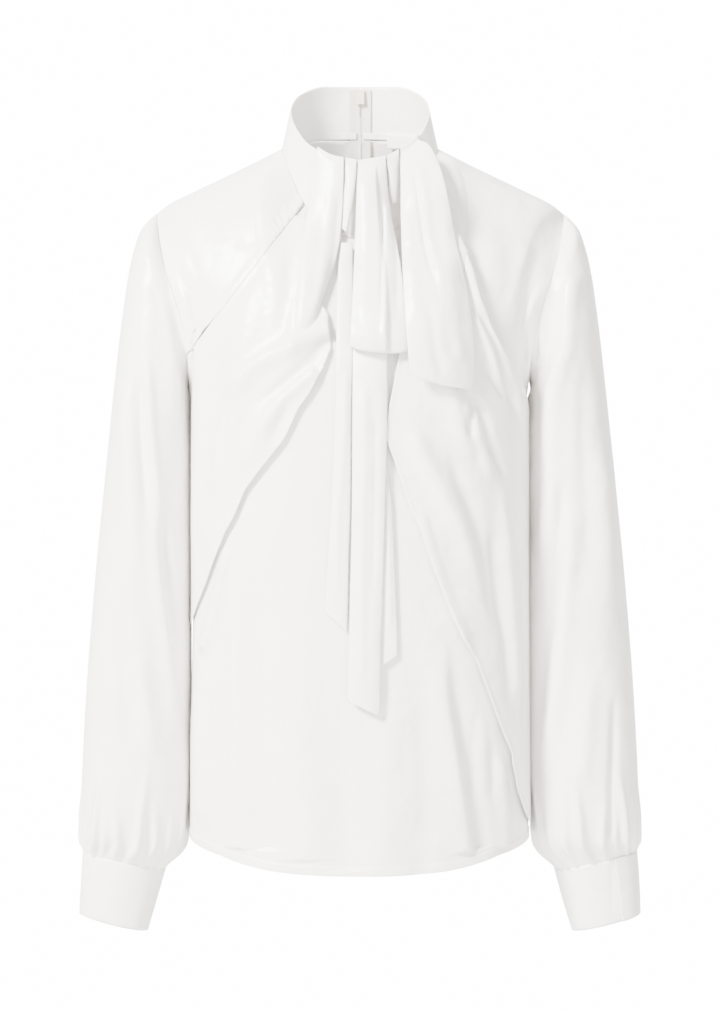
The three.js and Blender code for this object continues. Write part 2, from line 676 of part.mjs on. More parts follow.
// Front surface in the front view: collar above the neckline, body below it.
function frontDepth(x, z) {
  const side = x < 0 ? -1 : 1;
  const ax = Math.abs(x);
  let part = 0.5;
  let angle = 0;
  for (let i = 0; i < 8; i++) {
    const half = mix(collarBase.half, collarTop.half, clamp(part, -0.2, 1.2));
    angle = Math.asin(clamp(ax / half, 0, 0.999)) / degrees;
    const low = curve(collarLine.angle, collarLine.base, angle);
    const high = curve(collarLine.angle, collarLine.top, angle);
    part = (z - low) / (high - low);
  }
  if (part >= 0) return collarPoint(side * angle, Math.min(part, 1))[1];
  let column = 10;
  let v = 0.5;
  if (z < bustZ) v = 1.2;
  for (let i = 0; i < 14; i++) {
    const p = plainBody(column, v);
    const du = plainBody(column + 0.5, v);
    const dv = plainBody(column, v + 0.01);
    const a = (du[0] - p[0]) / 0.5;
    const b = (dv[0] - p[0]) / 0.01;
    const c = (du[2] - p[2]) / 0.5;
    const d = (dv[2] - p[2]) / 0.01;
    const det = a * d - b * c || 1e-6;
    const ex = ax - p[0];
    const ez = z - p[2];
    column = clamp(column + (ex * d - b * ez) / det, 0.01, 88);
    v = clamp(v + (a * ez - c * ex) / det, 0, 2);
  }
  return bodyPoint(side * column, v)[1];
}

// Rows that roll a hanging piece over the top edge of the collar.
function rollOver(from, to, columns) {
  return [[-9, 4.2], [0, 3.6], [2.6, 0.2], [2.2, -4.2], [-3, -7]].map(([rise, back]) =>
    steps(from, to, columns).map((x) => {
      const top = topOfCollar(x);
      return [x, top.y + back, top.z + rise];
    }),
  );
}

function topOfCollar(x) {
  const angle = Math.asin(clamp(Math.abs(x) / collarTop.half, 0, 0.999)) / degrees;
  const p = collarPoint(angle, 1);
  return { y: p[1], z: p[2] };
}

// Hanging strip: rows of left and right points lifted off the front.
function hangingRows(rows, columns, shape = null) {
  return rows.map((row, r) =>
    steps(0, 1, columns).map((u) => {
      const [x, z] = mixPoint(row.a, row.b, u);
      const round = 1 - Math.abs(2 * u - 1) ** 3;
      const extra = shape ? shape(u, r) : 0;
      const [left, right] = Array.isArray(row.lift) ? row.lift : [row.lift, row.lift];
      const y = row.depth ? mix(row.depth[0], row.depth[1], u) : frontDepth(x, z) - mix(left, right, u);
      return [x, y - row.full * round - extra, z];
    }),
  );
}

function hanging(rows, columns, over = null, shape = null, thick = thin) {
  const body = hangingRows(rows, columns, shape);
  const top = over ? rollOver(over[0], over[1], columns) : [];
  return wall([...top, ...body], thick);
}

// Bow loop: down the front, round the bottom and up behind.
function bowLoop() {
  const columns = 9;
  const step = (u) => 5 * (1 - soft((u - 0.6) / 0.1));
  const front = hangingRows(loopFrontRows, columns, step);
  const top = rollOver(-1.8, 24.6, columns);
  const last = front[front.length - 1];
  const turn = [40, 90, 140].map((angle) =>
    last.map((p, i) => {
      const u = i / columns;
      const depth = 3 + step(u) * 0.35;
      const a = angle * degrees;
      const drop = 9 * Math.sin(a) * (1 - 0.45 * Math.abs(2 * u - 1) ** 4);
      return [p[0], p[1] + depth * (1 - Math.cos(a)), p[2] - 6 - drop];
    }),
  );
  const back = [...loopFrontRows].reverse().slice(0, 5).map((row, r) =>
    steps(0, 1, columns).map((u, i) => {
      const p = front[front.length - 1 - r][i];
      return [p[0], p[1] + 2 * (3 + step(u) * 0.35) - r * 0.3, p[2]];
    }),
  );
  return wall([...top, ...front, ...turn, ...back], thin);
}

// Sleeve ring point: 0 is the outer point, 90 the front, 180 the inner point.
function sleevePoint(side, row, angle) {
  const k = sleeveRings;
  const keys = k.outerX.map((_, i) => i);
  const v = (name) => curve(keys, k[name], row);
  const a = angle * degrees;
  const c = powered(Math.cos(a), 0.9);
  const s = powered(Math.sin(a), 0.9);
  const mx = (v("outerX") + v("innerX")) / 2;
  const mz = (v("outerZ") + v("innerZ")) / 2;
  const hx = (v("outerX") - v("innerX")) / 2;
  const hz = (v("outerZ") - v("innerZ")) / 2;
  const middle = 5 * (1 - soft(row / 8));
  const y = s > 0 ? middle + (v("front") - middle) * s : middle - (v("back") - middle) * s;
  return [side * (mx + hx * c), y, mz + hz * c];
}

// Armhole point by the same angle.
function armholePoint(side, angle) {
  const a = ((angle % 360) + 360) % 360;
  const t = a <= 180 ? a / 180 : (360 - a) / 180;
  const row = ["x", a <= 180 ? "front" : "back", "z"].map((k) => curve(armhole.part, armhole[k], t));
  return [side * row[0], row[1], row[2]];
}

// Sleeve folds in turn and row: where, half widths, height.
const sleeveFolds = [
  { turn: 50, row: 3.4, wide: 14, long: 2.4, height: 5 },
  { turn: 84, row: 4.6, wide: 11, long: 3, height: 5 },
  { turn: 66, row: 6.6, wide: 12, long: 2.6, height: 4 },
  { turn: 118, row: 6.8, wide: 13, long: 3, height: 5.5 },
  { turn: 140, row: 5, wide: 12, long: 3, height: -4 },
  { turn: 100, row: 7.8, wide: 8, long: 2, height: -3 },
  { turn: 232, row: 5, wide: 15, long: 3, height: 5 },
  { turn: 285, row: 6.4, wide: 14, long: 3, height: 5 },
  { turn: 258, row: 4, wide: 10, long: 2.6, height: -3 },
];

function sleeveFoldHeight(angle, row) {
  let sum = 0;
  for (const f of sleeveFolds) {
    const off = Math.abs(((angle - f.turn + 540) % 360) - 180);
    sum += f.height * Math.exp(-((off / f.wide) ** 2) - ((row - f.row) / f.long) ** 2);
  }
  const inner = Math.abs(((angle - 180 + 540) % 360) - 180);
  return sum * soft((inner - 24) / 30);
}

function gatherHeight(angle, distance) {
  let sum = 0;
  for (let i = 0; i < gathers.turn.length; i++) {
    const off = Math.abs(((angle - gathers.turn[i] + 540) % 360) - 180);
    const fade = 1 - soft(distance / gathers.reach[i]);
    sum += gathers.depth[i] * fade * (Math.exp(-((off / 5) ** 2)) - 0.025);
  }
  return sum;
}

function sleeve(side, thick = cloth) {
  const coarse = 28;
  const rows = [];
  const keys = [0.35, 0.75, 1.3, 2, 3, 4, 5, 6, 7, 7.8];
  const fine = [8.6, 9.3, 9.9, 10.45, 11];
  const ring = (row, count) =>
    steps(0, 360, count)
      .slice(0, count)
      .map((angle) => {
        const p = sleevePoint(side, row, angle);
        const q = sleevePoint(side, row, angle + 1);
        const r = sleevePoint(side, row + 0.05, angle);
        const n = unit(cross(sub(q, p), sub(r, p)));
        const centre = sleevePoint(side, row, angle + 180);
        const out = dot(n, sub(p, centre)) < 0 ? -1 : 1;
        const left = (11 - row) * 36;
        const off = sleeveFoldHeight(angle, row) + (row > 7.9 ? gatherHeight(angle, left) : 0);
        const start = soft(row / 1.3);
        const at = p.map((v, i) => v + n[i] * out * off);
        const hole = armholePoint(side, angle);
        const away = [side * (cloth / 2 + seam + 0.5) * 1.1, 0, -0.4];
        return at.map((v, i) => mix(hole[i] + away[i], v, start));
      });
  if (thick > cloth) {
    rows.push(
      steps(0, 360, coarse)
        .slice(0, coarse)
        .map((angle) => armholePoint(side, angle).map((v, i) => v + [side * 0.7, 0, 0][i])),
    );
  }
  for (const k of keys) rows.push(ring(k, coarse));
  for (const k of fine) rows.push(ring(k, coarse * 2));
  const grid = rows.map((row, r) => row.map((p, c) => ({ p, n: gridNormal(rows, r, c) })));
  return gridSolid(grid, thick, true);
}

const sub = (a, b) => a.map((v, i) => v - b[i]);
const dot = (a, b) => a.reduce((s, v, i) => s + v * b[i], 0);
const cross = (a, b) => [a[1] * b[2] - a[2] * b[1], a[2] * b[0] - a[0] * b[2], a[0] * b[1] - a[1] * b[0]];
const unit = (a) => {
  const size = Math.hypot(...a) || 1;
  return a.map((v) => v / size);
};

// Direction off a closed grid whose rows may double in count.
function gridNormal(rows, r, c) {
  const n = rows[r].length;
  const pick = (row) => {
    const k = rows[row].length / n;
    return rows[row][Math.round(c * k) % rows[row].length];
  };
  const s = sub(rows[r][(c + 1) % n], rows[r][(c - 1 + n) % n]);
  const up = r > 0 ? (rows[r - 1].length === n ? pick(r - 1) : rows[r][c]) : rows[r][c];
  const down = r + 1 < rows.length ? pick(r + 1) : rows[r][c];
  return unit(cross(s, sub(down, up)));
}

// Cuff: a strip wound once round the wrist, its end lying over its start.
function cuffWall(side) {
  const start = side > 0 ? 52 : 232;
  const list = steps(0, 360 + cuff.overlap, 38);
  const rows = [0, 0.5, 1].map((v) =>
    list.map((turned) => {
      const angle = (start + turned) * degrees;
      const outer = mixPoint(cuff.top.outer, cuff.bottom.outer, v);
      const inner = mixPoint(cuff.top.inner, cuff.bottom.inner, v);
      const depth = mix(cuff.depth[0], cuff.depth[1], v);
      const c = Math.cos(angle);
      const s = Math.sin(angle);
      const over = (cloth + seam + 0.15) * soft((turned - 325) / 36);
      const x = mix(inner[0], outer[0], 0.5 + 0.5 * c) + over * c;
      const z = mix(inner[1], outer[1], 0.5 + 0.5 * c);
      return [side * x, cuff.middleY - (depth + over) * s, z];
    }),
  );
  return wall(rows, cloth);
}

// Collar wall, open at the centre back.
function collarWall() {
  const angles = steps(-179.9, 179.9, 40);
  const rows = [0.006, 0.33, 0.67, 1].map((v) => angles.map((a) => collarPoint(a, v)));
  const gap = box([-1.1, 40, zip.pinZ - 5], [1.1, 90, 90]);
  return largest(wall(rows, cloth).subtract(gap));
}

function box(a, b) {
  return wasm.Manifold.cube(b.map((v, i) => v - a[i])).translate(a);
}

// Tape and label inside the collar seam.
function insideStrip(from, to, low, high, inward, thick, count) {
  const rows = [low, (low + high) / 2, high].map((v) =>
    steps(from, to, count).map((a) => {
      const p = collarPoint(a, v);
      const flat = Math.hypot(p[0], p[1]);
      const off = inward + 1.9 * soft((Math.abs(a) - 163) / 6) * (inward < 2 ? 1 : 0);
      return [p[0] * (1 - off / flat), p[1] * (1 - off / flat), p[2]];
    }),
  );
  return wall(rows, thick);
}

// Zip tape along the inside of the centre back.
function zipTape(side) {
  const heights = [zip.top, 45, 28, 19, 12, 4, -8, -25, -50, -90, -135, -180, zip.bottom];
  const rows = heights.map((z) =>
    [0.4, 1.9, 3.2, zip.half].map((x) => {
      const y = backDepth(z) - (x < 2 ? 1.9 : 1.6) - (x * x) / 150;
      return [side * x, y, z];
    }),
  );
  return wall(rows, 0.9).subtract(box([-1, 40, zip.pinZ - 5], [1, 90, 90]));
}

// Depth of the inside of the centre back at a height.
function backDepth(z) {
  if (z >= 17) {
    const part = (z - 17) / 54;
    return mix(collarBase.back, collarTop.back, part) - cloth / 2;
  }
  let low = 0;
  let high = 1;
  for (let i = 0; i < 30; i++) {
    const v = (low + high) / 2;
    if (plainBody(179.93, v)[2] > z) low = v;
    else high = v;
  }
  return plainBody(179.93, low)[1] - cloth / 2;
}

// Slider: body inside, neck through the opening and an arch outside that holds the pull.
function zipSlider() {
  const z = zip.sliderZ;
  const inner = backDepth(z + 7) - 2.75;
  const outer = backDepth(z) + cloth + 0.9;
  const bar = (a, b) => box(a, b);
  let s = bar([-4.2, inner - 2, z - 7], [4.2, inner, z + 7]);
  s = s.add(bar([-zip.neck / 2, inner - 0.5, zip.pinZ - 2.6], [zip.neck / 2, outer + 0.5, zip.pinZ + 2.6]));
  s = s.add(bar([-0.9, outer - 0.1, zip.pinZ - 3.4], [0.9, outer + 0.9, zip.pinZ + 3.4]));
  s = s.add(bar([-0.7, outer, zip.pinZ - 2.7], [0.7, outer + 3.6, zip.pinZ - 1.2]));
  s = s.add(bar([-0.7, outer, zip.pinZ + 1.2], [0.7, outer + 3.6, zip.pinZ + 2.7]));
  return s.add(bar([-0.7, outer + 2.9, zip.pinZ - 2.7], [0.7, outer + 3.8, zip.pinZ + 2.7]));
}

// Pull: a pin through the arch, two arms and a drop-shaped plate.
function zipPull() {
  const y = backDepth(zip.sliderZ) + cloth + 0.9 + 1.9;
  const pin = wasm.Manifold.cylinder(4.6, zip.pinRadius, zip.pinRadius, 20, true);
  let s = pin.rotate([0, 90, 0]).translate([0, y, zip.pinZ]);
  for (const side of [-1, 1]) {
    const a = [side * 1.9 - 0.4, y - 0.5, zip.pinZ - 6.5];
    s = s.add(box(a, [side * 1.9 + 0.4, y + 0.5, zip.pinZ + 0.3]));
  }
  const outline = [
    [-1.7, 0], [1.7, 0], [2.6, -5], [3, -9], [2.7, -12.5], [1.6, -14.6],
    [0, -15.2], [-1.6, -14.6], [-2.7, -12.5], [-3, -9], [-2.6, -5],
  ].reverse();
  const plate = prism(outline, y - 0.5, y + 0.5).translate([0, 0, zip.pinZ - 5.8]);
  return s.add(plate);
}

// Wall of a piece cut clear of its neighbours.
function clearOf(piece, others) {
  return largest(others.reduce((s, o) => s.subtract(o), piece));
}

const satin = 0xf4f1ea;
const colours = {
  front_panel: 0xf0eee8,
  drape_left: satin,
  drape_right: satin,
  zip_slider: 0xcbb79c,
  zip_pull: 0xcbb79c,
};

const group = new THREE.Group();

// Very short edges that a cut leaves are closed up, where the surface stays sound.
function closedUp(points, faces) {
  const at = (i) => [points[3 * i], points[3 * i + 1], points[3 * i + 2]];
  let list = faces;
  for (let left = 80; left > 0; left--) {
    const near = new Map();
    for (let i = 0; i < list.length; i++) {
      const next = i % 3 === 2 ? i - 2 : i + 1;
      const before = i % 3 === 0 ? i + 2 : i - 1;
      if (!near.has(list[i])) near.set(list[i], new Set());
      near.get(list[i]).add(list[next]).add(list[before]);
    }
    const isSound = (a, b) => [...near.get(a)].filter((v) => near.get(b).has(v)).length === 2;
    const isShort = (a, b) => Math.hypot(...sub(at(a), at(b))) < shortestEdge;
    let pair = null;
    for (const [a, around] of near) {
      const b = [...around].find((v) => v > a && isShort(a, v) && isSound(a, v));
      if (b !== undefined) pair = [a, b];
      if (pair) break;
    }
    if (!pair) return list;
    const joined = list.map((v) => (v === pair[1] ? pair[0] : v));
    list = [];
    for (let i = 0; i < joined.length; i += 3) {
      const face = joined.slice(i, i + 3);
      if (new Set(face).size === 3) list.push(...face);
    }
  }
  return list;
}

// A sliver gives its long edge up for the other diagonal across the two faces beside it.
function turnedOver(points, faces) {
  const at = (i) => [points[3 * i], points[3 * i + 1], points[3 * i + 2]];
  const list = [...faces];
  const key = (a, b) => (a < b ? `${a} ${b}` : `${b} ${a}`);
  for (let left = 80; left > 0; left--) {
    const beside = new Map();
    for (let i = 0; i < list.length; i++) {
      const k = key(list[i], list[i % 3 === 2 ? i - 2 : i + 1]);
      beside.set(k, [...(beside.get(k) ?? []), i - (i % 3)]);
    }
    let isDone = true;
    for (let i = 0; i < list.length && isDone; i += 3) {
      const turns = [0, 1, 2].map((k) => [list[i + k], list[i + ((k + 1) % 3)], list[i + ((k + 2) % 3)]]);
      const long = ([p, q]) => Math.hypot(...sub(at(p), at(q)));
      const [a, b, c] = turns.reduce((m, t) => (long(t) > long(m) ? t : m));
      const area = Math.hypot(...cross(sub(at(b), at(a)), sub(at(c), at(a))));
      if (area / long([a, b]) > thinnestFace) continue;
      const other = beside.get(key(a, b)).find((f) => f !== i);
      const d = list.slice(other, other + 3).find((v) => v !== a && v !== b);
      if (beside.has(key(c, d))) continue;
      list.splice(i, 3, a, d, c);
      list.splice(other, 3, d, b, c);
      isDone = false;
    }
    if (isDone) return list;
  }
  return list;
}

// Corners of a cut piece that touch each other are drawn back into the cloth by a hair.
function drawnApart(points, faces) {
  const out = Float32Array.from(points);
  const count = out.length / 3;
  const isUsed = new Set(faces);
  const at = (i) => [out[3 * i], out[3 * i + 1], out[3 * i + 2]];
  const normal = Array.from({ length: count }, () => [0, 0, 0]);
  for (let i = 0; i < faces.length; i += 3) {
    const [a, b, c] = [0, 1, 2].map((k) => at(faces[i + k]));
    const n = cross(sub(b, a), sub(c, a));
    for (let k = 0; k < 3; k++) n.forEach((v, j) => (normal[faces[i + k]][j] += v));
  }
  const cells = new Map();
  for (const i of isUsed) {
    const key = at(i).map((v) => Math.round(v * 100)).join(" ");
    cells.set(key, [...(cells.get(key) ?? []), i]);
  }
  for (const list of cells.values()) {
    if (list.length < 2) continue;
    for (const i of list) unit(normal[i]).forEach((v, j) => (out[3 * i + j] -= 0.006 * v));
  }
  return out;
}

function addNode(name, s) {
  const m = s.getMesh();
  const faces = turnedOver(m.vertProperties, closedUp(m.vertProperties, [...m.triVerts]));
  const g = new THREE.BufferGeometry();
  g.setAttribute("position", new THREE.BufferAttribute(drawnApart(m.vertProperties, faces), 3));
  g.setIndex(new THREE.BufferAttribute(new Uint32Array(faces), 1));
  const merged = mergeVertices(g, 1e-4);
  merged.computeVertexNormals();
  const colour = colours[name] ?? satin;
  const material = new THREE.MeshStandardMaterial({ color: colour, roughness: 0.45 });
  const mesh = new THREE.Mesh(merged, material);
  mesh.name = name;
  group.add(mesh);
}

const front = frontPieces();
for (const [name, s] of Object.entries(front)) addNode(name, s);
addNode("back_left", clearOf(backWall(-1), [collarCutter()]));
addNode("back_right", clearOf(backWall(1), [collarCutter()]));

const leftBand = hanging(bandLeftRows, 7, [-41, -15.6], null, thin + 0.2);
const thickFront = frontWall(cloth + 2 * seam);
const thickCollar = collarThick();
const endRight = hanging(endRightRows, 9, [39.2, 56]);
const thickEnd = hanging(endRightRows, 9, [39.2, 56], null, thin + 3 * seam);
const drapeLeft = drapeWall(-1).intersect(prism(drapeLeftOutline, -300, 60));
const drapeRight = drapeWall(1).intersect(prism(drapeRightOutline, -300, 60));
const leftClear = clearOf(drapeLeft, [thickFront, thickCollar, sleeve(-1, cloth + 3 * seam)]);
addNode("drape_left", leftClear);
const thickDrape = drapeWall(-1, thin + 0.2 + 2 * seam);
const shifts = [[0, -seam, 0], [0, seam, 0], [seam, 0, 0], [-seam, 0, 0], [0, 0, seam]];
const ahead = shifts.map((v) => leftClear.translate(v)).reduce((a, b) => a.add(b), leftClear);
addNode("tie_band_left", clearOf(leftBand, [thickDrape, ahead, thickFront, thickCollar]));
addNode("drape_right", clearOf(drapeRight, [thickFront, thickCollar, thickEnd, sleeve(1, cloth + 3 * seam)]));

addNode("collar", collarWall());
addNode("neck_tape_left", insideStrip(-177.5, -84, 0.03, 0.15, 1.75, 0.9, 16));
addNode("neck_tape_right", insideStrip(84, 177.5, 0.03, 0.15, 1.75, 0.9, 16));
addNode("neck_label", insideStrip(130, 158, -0.14, 0.13, 3.1, 0.8, 6));

addNode("sleeve_left", sleeve(-1));
addNode("sleeve_right", sleeve(1));
addNode("cuff_left", cuffWall(-1));
addNode("cuff_right", cuffWall(1));

addNode("tie_fold_left", hanging(foldLeftRows, 4, [-13.8, -3.6]));
addNode("tie_loop", bowLoop());
addNode("tie_fold_right", hanging(foldRightRows, 4, [26.4, 37.4]));
addNode("tie_end_right", clearOf(endRight, [thickCollar]));
addNode("tail_left", hanging(tailLeftRows, 4));
addNode("tail_centre", hanging(tailCentreRows, 6));
addNode("tail_right", hanging(tailRightRows, 4));

addNode("zip_tape_left", zipTape(-1));
addNode("zip_tape_right", zipTape(1));
addNode("zip_slider", zipSlider());
addNode("zip_pull", zipPull());

export default group;
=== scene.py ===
import math

import bpy
import numpy as np
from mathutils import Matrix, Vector


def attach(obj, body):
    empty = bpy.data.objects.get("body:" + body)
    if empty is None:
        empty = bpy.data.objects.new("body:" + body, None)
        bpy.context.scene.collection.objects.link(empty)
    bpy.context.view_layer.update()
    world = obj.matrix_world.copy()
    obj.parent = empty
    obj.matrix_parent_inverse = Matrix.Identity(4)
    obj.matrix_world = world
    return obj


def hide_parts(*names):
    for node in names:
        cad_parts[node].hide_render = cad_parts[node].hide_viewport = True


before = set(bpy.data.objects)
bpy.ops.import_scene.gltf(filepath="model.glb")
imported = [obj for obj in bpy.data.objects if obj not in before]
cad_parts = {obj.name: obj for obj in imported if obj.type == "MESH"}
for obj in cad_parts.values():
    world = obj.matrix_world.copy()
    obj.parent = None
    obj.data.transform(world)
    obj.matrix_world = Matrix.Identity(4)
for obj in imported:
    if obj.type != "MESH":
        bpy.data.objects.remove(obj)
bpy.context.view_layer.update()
print("stage: frame loaded")

# Tie neck blouse. Shapes are worked out in millimetres and become metres when a mesh is made.
# Front faces -Y, +X is the right side in the front view, +Z is up.
toMetres = 0.001
degrees = math.pi / 180

body = {
    "bustZ": -250,
    "hemSide": -669.5,
    "hemDrop": 27.5,
    "ringPower": 2.35,
    "neckColumn": 25,
    "shoulderColumn": 58,
    "shoulderEase": 8,
}
bodyRings = {
    "z": [-250, -330, -430, -530, -620, -700],
    "half": [162.5, 162.5, 162.5, 163, 163.6, 165.6],
    "leftMore": [0, 0, 0, 1.4, 1.8, 0.6],
    "front": [118, 118, 116, 115, 116, 118],
    "back": [102, 100, 98, 99, 101, 103],
}
collarLine = {
    "angle": [0, 22, 40, 50, 62, 76, 90, 120, 150, 180],
    "base": [-95, -86, -66, -50, -27, -7, 1, 10, 15.5, 17],
    "top": [-20, -15, -4, 3, 14, 27, 38, 58.6, 70, 71],
}
collarBase = {"half": 75.8, "front": 64, "back": 68}
collarTop = {"half": 67.5, "front": 58, "back": 62}
shoulderLine = {
    "part": [0, 0.25, 0.5, 0.75, 0.92, 1],
    "x": [75.8, 107, 137, 168, 190, 200],
    "y": [0, 6.5, 10, 12, 14, 15],
    "z": [1, -14, -28.2, -43, -53.8, -61.5],
}
armhole = {
    "part": [0, 0.2, 0.4, 0.6, 0.8, 0.92, 1],
    "x": [200, 196, 189, 178.5, 168.5, 165.6, 165.2],
    "z": [-61.5, -88, -117, -148, -185, -213, -226],
    "front": [15, -14, -36, -49, -47, -25, 6],
    "back": [15, 38, 55, 64, 58, 35, 6],
}
armholeWay = {
    "part": [0, 0.3, 0.5, 0.7, 0.86, 1],
    "x": [-0.435, -0.7, -0.75, -0.65, -0.3, 0],
    "y": [0.93, 0.7, 0.6, 0.55, 0.5, 0],
    "z": [0.25, -0.1, -0.25, -0.4, -0.75, -1],
}
yokeSeamLeft = [(-50, -46), (-55, -59.5), (-90.5, -110), (-128.5, -159), (-169, -206), (-200, -240)]
yokeSeamRight = [(60, -40), (72, -68), (88, -110), (103, -160), (124, -205), (143, -240), (172, -282)]
drapeLeftOutline = [
    (-62.6, -70.5), (-90.8, -110.5), (-128.8, -159.5), (-166, -203.5), (-166.6, -212), (-166.9, -228),
    (-230, -232), (-230, -474), (-166.8, -474), (-145.1, -425.8), (-124.8, -374.3), (-116.4, -359.3),
    (-106.1, -334), (-93.9, -317.1), (-70.4, -287), (-56.3, -257), (-46.9, -243.9), (-35.7, -223.2),
    (-28.2, -204), (-22.5, -188.5), (-25.3, -176), (-33, -166), (-44, -150), (-47, -110), (-48.5, -88),
    (-52, -76),
]
drapeRightOutline = [
    (60, -86), (76, -64), (84, -64), (89.8, -80.5), (95.3, -100.3), (106.2, -134.6), (110.8, -154),
    (120.1, -177.8), (132.5, -201.3), (144.4, -221.7), (154.8, -240.1), (163, -262), (230, -275),
    (230, -667), (166.4, -664.3), (153.7, -644), (145.2, -620.4), (139.9, -588), (125.9, -548.8),
    (106.6, -494.3), (93.9, -474.8), (84.5, -453.2), (67.6, -409.1), (53.5, -365), (46.9, -352.8),
    (34.7, -315.2), (23.5, -284.2), (27, -255), (36, -210), (44, -150),
]


def mix(a, b, t):
    return a + (b - a) * t


def soft(t):
    c = np.clip(t, 0, 1)
    return c * c * (3 - 2 * c)


def powered(v, p):
    return np.sign(v) * np.abs(v) ** p


# Smooth curve through a table, with no overshoot between its rows.
def curve(keys, values, x):
    xs = np.asarray(keys, float)
    ys = np.asarray(values, float)
    rise = np.diff(ys) / np.diff(xs)
    slope = np.empty(len(xs))
    slope[0] = rise[0]
    slope[-1] = rise[-1]
    a = rise[:-1]
    b = rise[1:]
    total = np.where(a * b > 0, a + b, 1)
    slope[1:-1] = np.where(a * b > 0, 2 * a * b / total, 0)
    t = np.clip(x, xs[0], xs[-1])
    i = np.clip(np.searchsorted(xs, t, side="left") - 1, 0, len(xs) - 2)
    h = xs[i + 1] - xs[i]
    s = (t - xs[i]) / h
    first = ys[i] * (1 + 2 * s) * (1 - s) ** 2 + slope[i] * h * s * (1 - s) ** 2
    return first + ys[i + 1] * s * s * (3 - 2 * s) + slope[i + 1] * h * s * s * (s - 1)


def points(x, y, z):
    return np.stack(np.broadcast_arrays(x, y, z), axis=-1).astype(float)


# Point of the collar wall at an angle from the front centre, from seam (0) to top edge (1).
def collarPoint(angle, part):
    angle, part = np.broadcast_arrays(np.asarray(angle, float), np.asarray(part, float))
    a = np.abs(angle)
    side = np.where(angle < 0, -1, 1)
    half = mix(collarBase["half"], collarTop["half"], part)
    front = mix(collarBase["front"], collarTop["front"], part)
    back = mix(collarBase["back"], collarTop["back"], part)
    c = np.cos(a * degrees)
    low = curve(collarLine["angle"], collarLine["base"], a)
    high = curve(collarLine["angle"], collarLine["top"], a)
    y = np.where(c > 0, -front * c, -back * c)
    return points(side * half * np.sin(a * degrees), y, mix(low, high, part))


# Point of the body wall below the bust. A column is a place round the wall, 0 at the front centre.
def ringPoint(column, z):
    b = np.abs(column)
    a = np.minimum(b, 180 - b)
    isFront = b <= 90
    keys = [-v for v in bodyRings["z"]]
    neck = body["neckColumn"]
    shoulder = body["shoulderColumn"]
    less = body["shoulderEase"] * np.maximum(0, a - neck) / (shoulder - neck)
    below = shoulder - body["shoulderEase"]
    perColumn = (90 - below) / (90 - shoulder)
    turn = np.where(a < shoulder, a - less, below + (a - shoulder) * perColumn)
    half = curve(keys, bodyRings["half"], -z)
    depth = np.where(isFront, curve(keys, bodyRings["front"], -z), curve(keys, bodyRings["back"], -z))
    p = 2 / body["ringPower"]
    x = half * powered(np.sin(turn * degrees), p)
    y = depth * powered(np.cos(turn * degrees), p)
    more = np.where(column < 0, curve(keys, bodyRings["leftMore"], -z), 0)
    return points(np.sign(column) * x * (1 + more / half), np.where(isFront, -y, y), z)


# Top edge of the body wall at a column, round the neck, along the shoulder and down the armhole,
# with the direction in which the wall leaves it.
def topEdge(column):
    b = np.abs(column)
    a = np.minimum(b, 180 - b)
    isFront = b <= 90
    side = np.where(column < 0, -1, 1)
    turn = a * 90 / body["neckColumn"]
    neck = collarPoint(side * np.where(isFront, turn, 180 - turn), 0)
    s = np.clip(a / body["neckColumn"], 0, 1)
    neckWay = points(
        side * np.where(isFront, 0.65, 0.2) * np.sin(np.minimum(turn, 90) * degrees),
        np.where(isFront, -0.45 - 0.15 * s, 0.3 + 0.7 * s),
        np.where(isFront, mix(-0.9, -0.375, s), mix(-0.95, -0.12, s)),
    )
    s = np.clip((a - body["neckColumn"]) / (body["shoulderColumn"] - body["neckColumn"]), 0, 1)
    x, y, z = [curve(shoulderLine["part"], shoulderLine[k], s) for k in ("x", "y", "z")]
    lean = mix(np.where(isFront, -0.75, -0.2), 0.5, s)
    out = np.where(isFront, mix(-0.6, -0.93, s), mix(1, 0.93, s))
    shoulder = points(side * x, y, z)
    shoulderWay = points(-side * 0.87 * lean, out, 0.5 * lean)
    t = np.clip((a - body["shoulderColumn"]) / (90 - body["shoulderColumn"]), 0, 1)
    x, front, back, z = [curve(armhole["part"], armhole[k], t) for k in ("x", "front", "back", "z")]
    wx, wy, wz = [curve(armholeWay["part"], armholeWay[k], t) for k in ("x", "y", "z")]
    ahead = np.where(isFront, -1, mix(1, 0.6, soft(t * 3)))
    arm = points(side * x, np.where(isFront, front, back), z)
    armWay = points(side * wx, ahead * wy, wz)
    inNeck = (a <= body["neckColumn"])[..., None]
    inShoulder = (a <= body["shoulderColumn"])[..., None]
    point = np.where(inNeck, neck, np.where(inShoulder, shoulder, arm))
    way = np.where(inNeck, neckWay, np.where(inShoulder, shoulderWay, armWay))
    return point, way


# Body wall without folds: from its top edge (0) over the bust ring (1) to the hem (2).
def plainBody(column, part):
    column, part = np.broadcast_arrays(np.asarray(column, float), np.asarray(part, float))
    c = np.abs(np.cos(column * degrees)) ** 1.3
    hem = body["hemSide"] - body["hemDrop"] * c
    lower = ringPoint(column, mix(body["bustZ"], hem, np.maximum(part, 1) - 1))
    top, way = topEdge(column)
    low = ringPoint(column, np.full(column.shape, float(body["bustZ"])))
    reach = np.linalg.norm(low - top, axis=-1)[..., None]
    s = np.minimum(part, 1)[..., None]
    down = np.array([0, 0, -1.0])
    upper = (1 + 2 * s) * (1 - s) ** 2 * top + s * (1 - s) ** 2 * reach * way
    upper = upper + s * s * (3 - 2 * s) * low + s * s * (s - 1) * reach * down
    return np.where((part >= 1)[..., None], lower, upper)


def unit(v):
    return v / np.maximum(np.linalg.norm(v, axis=-1), 1e-9)[..., None]


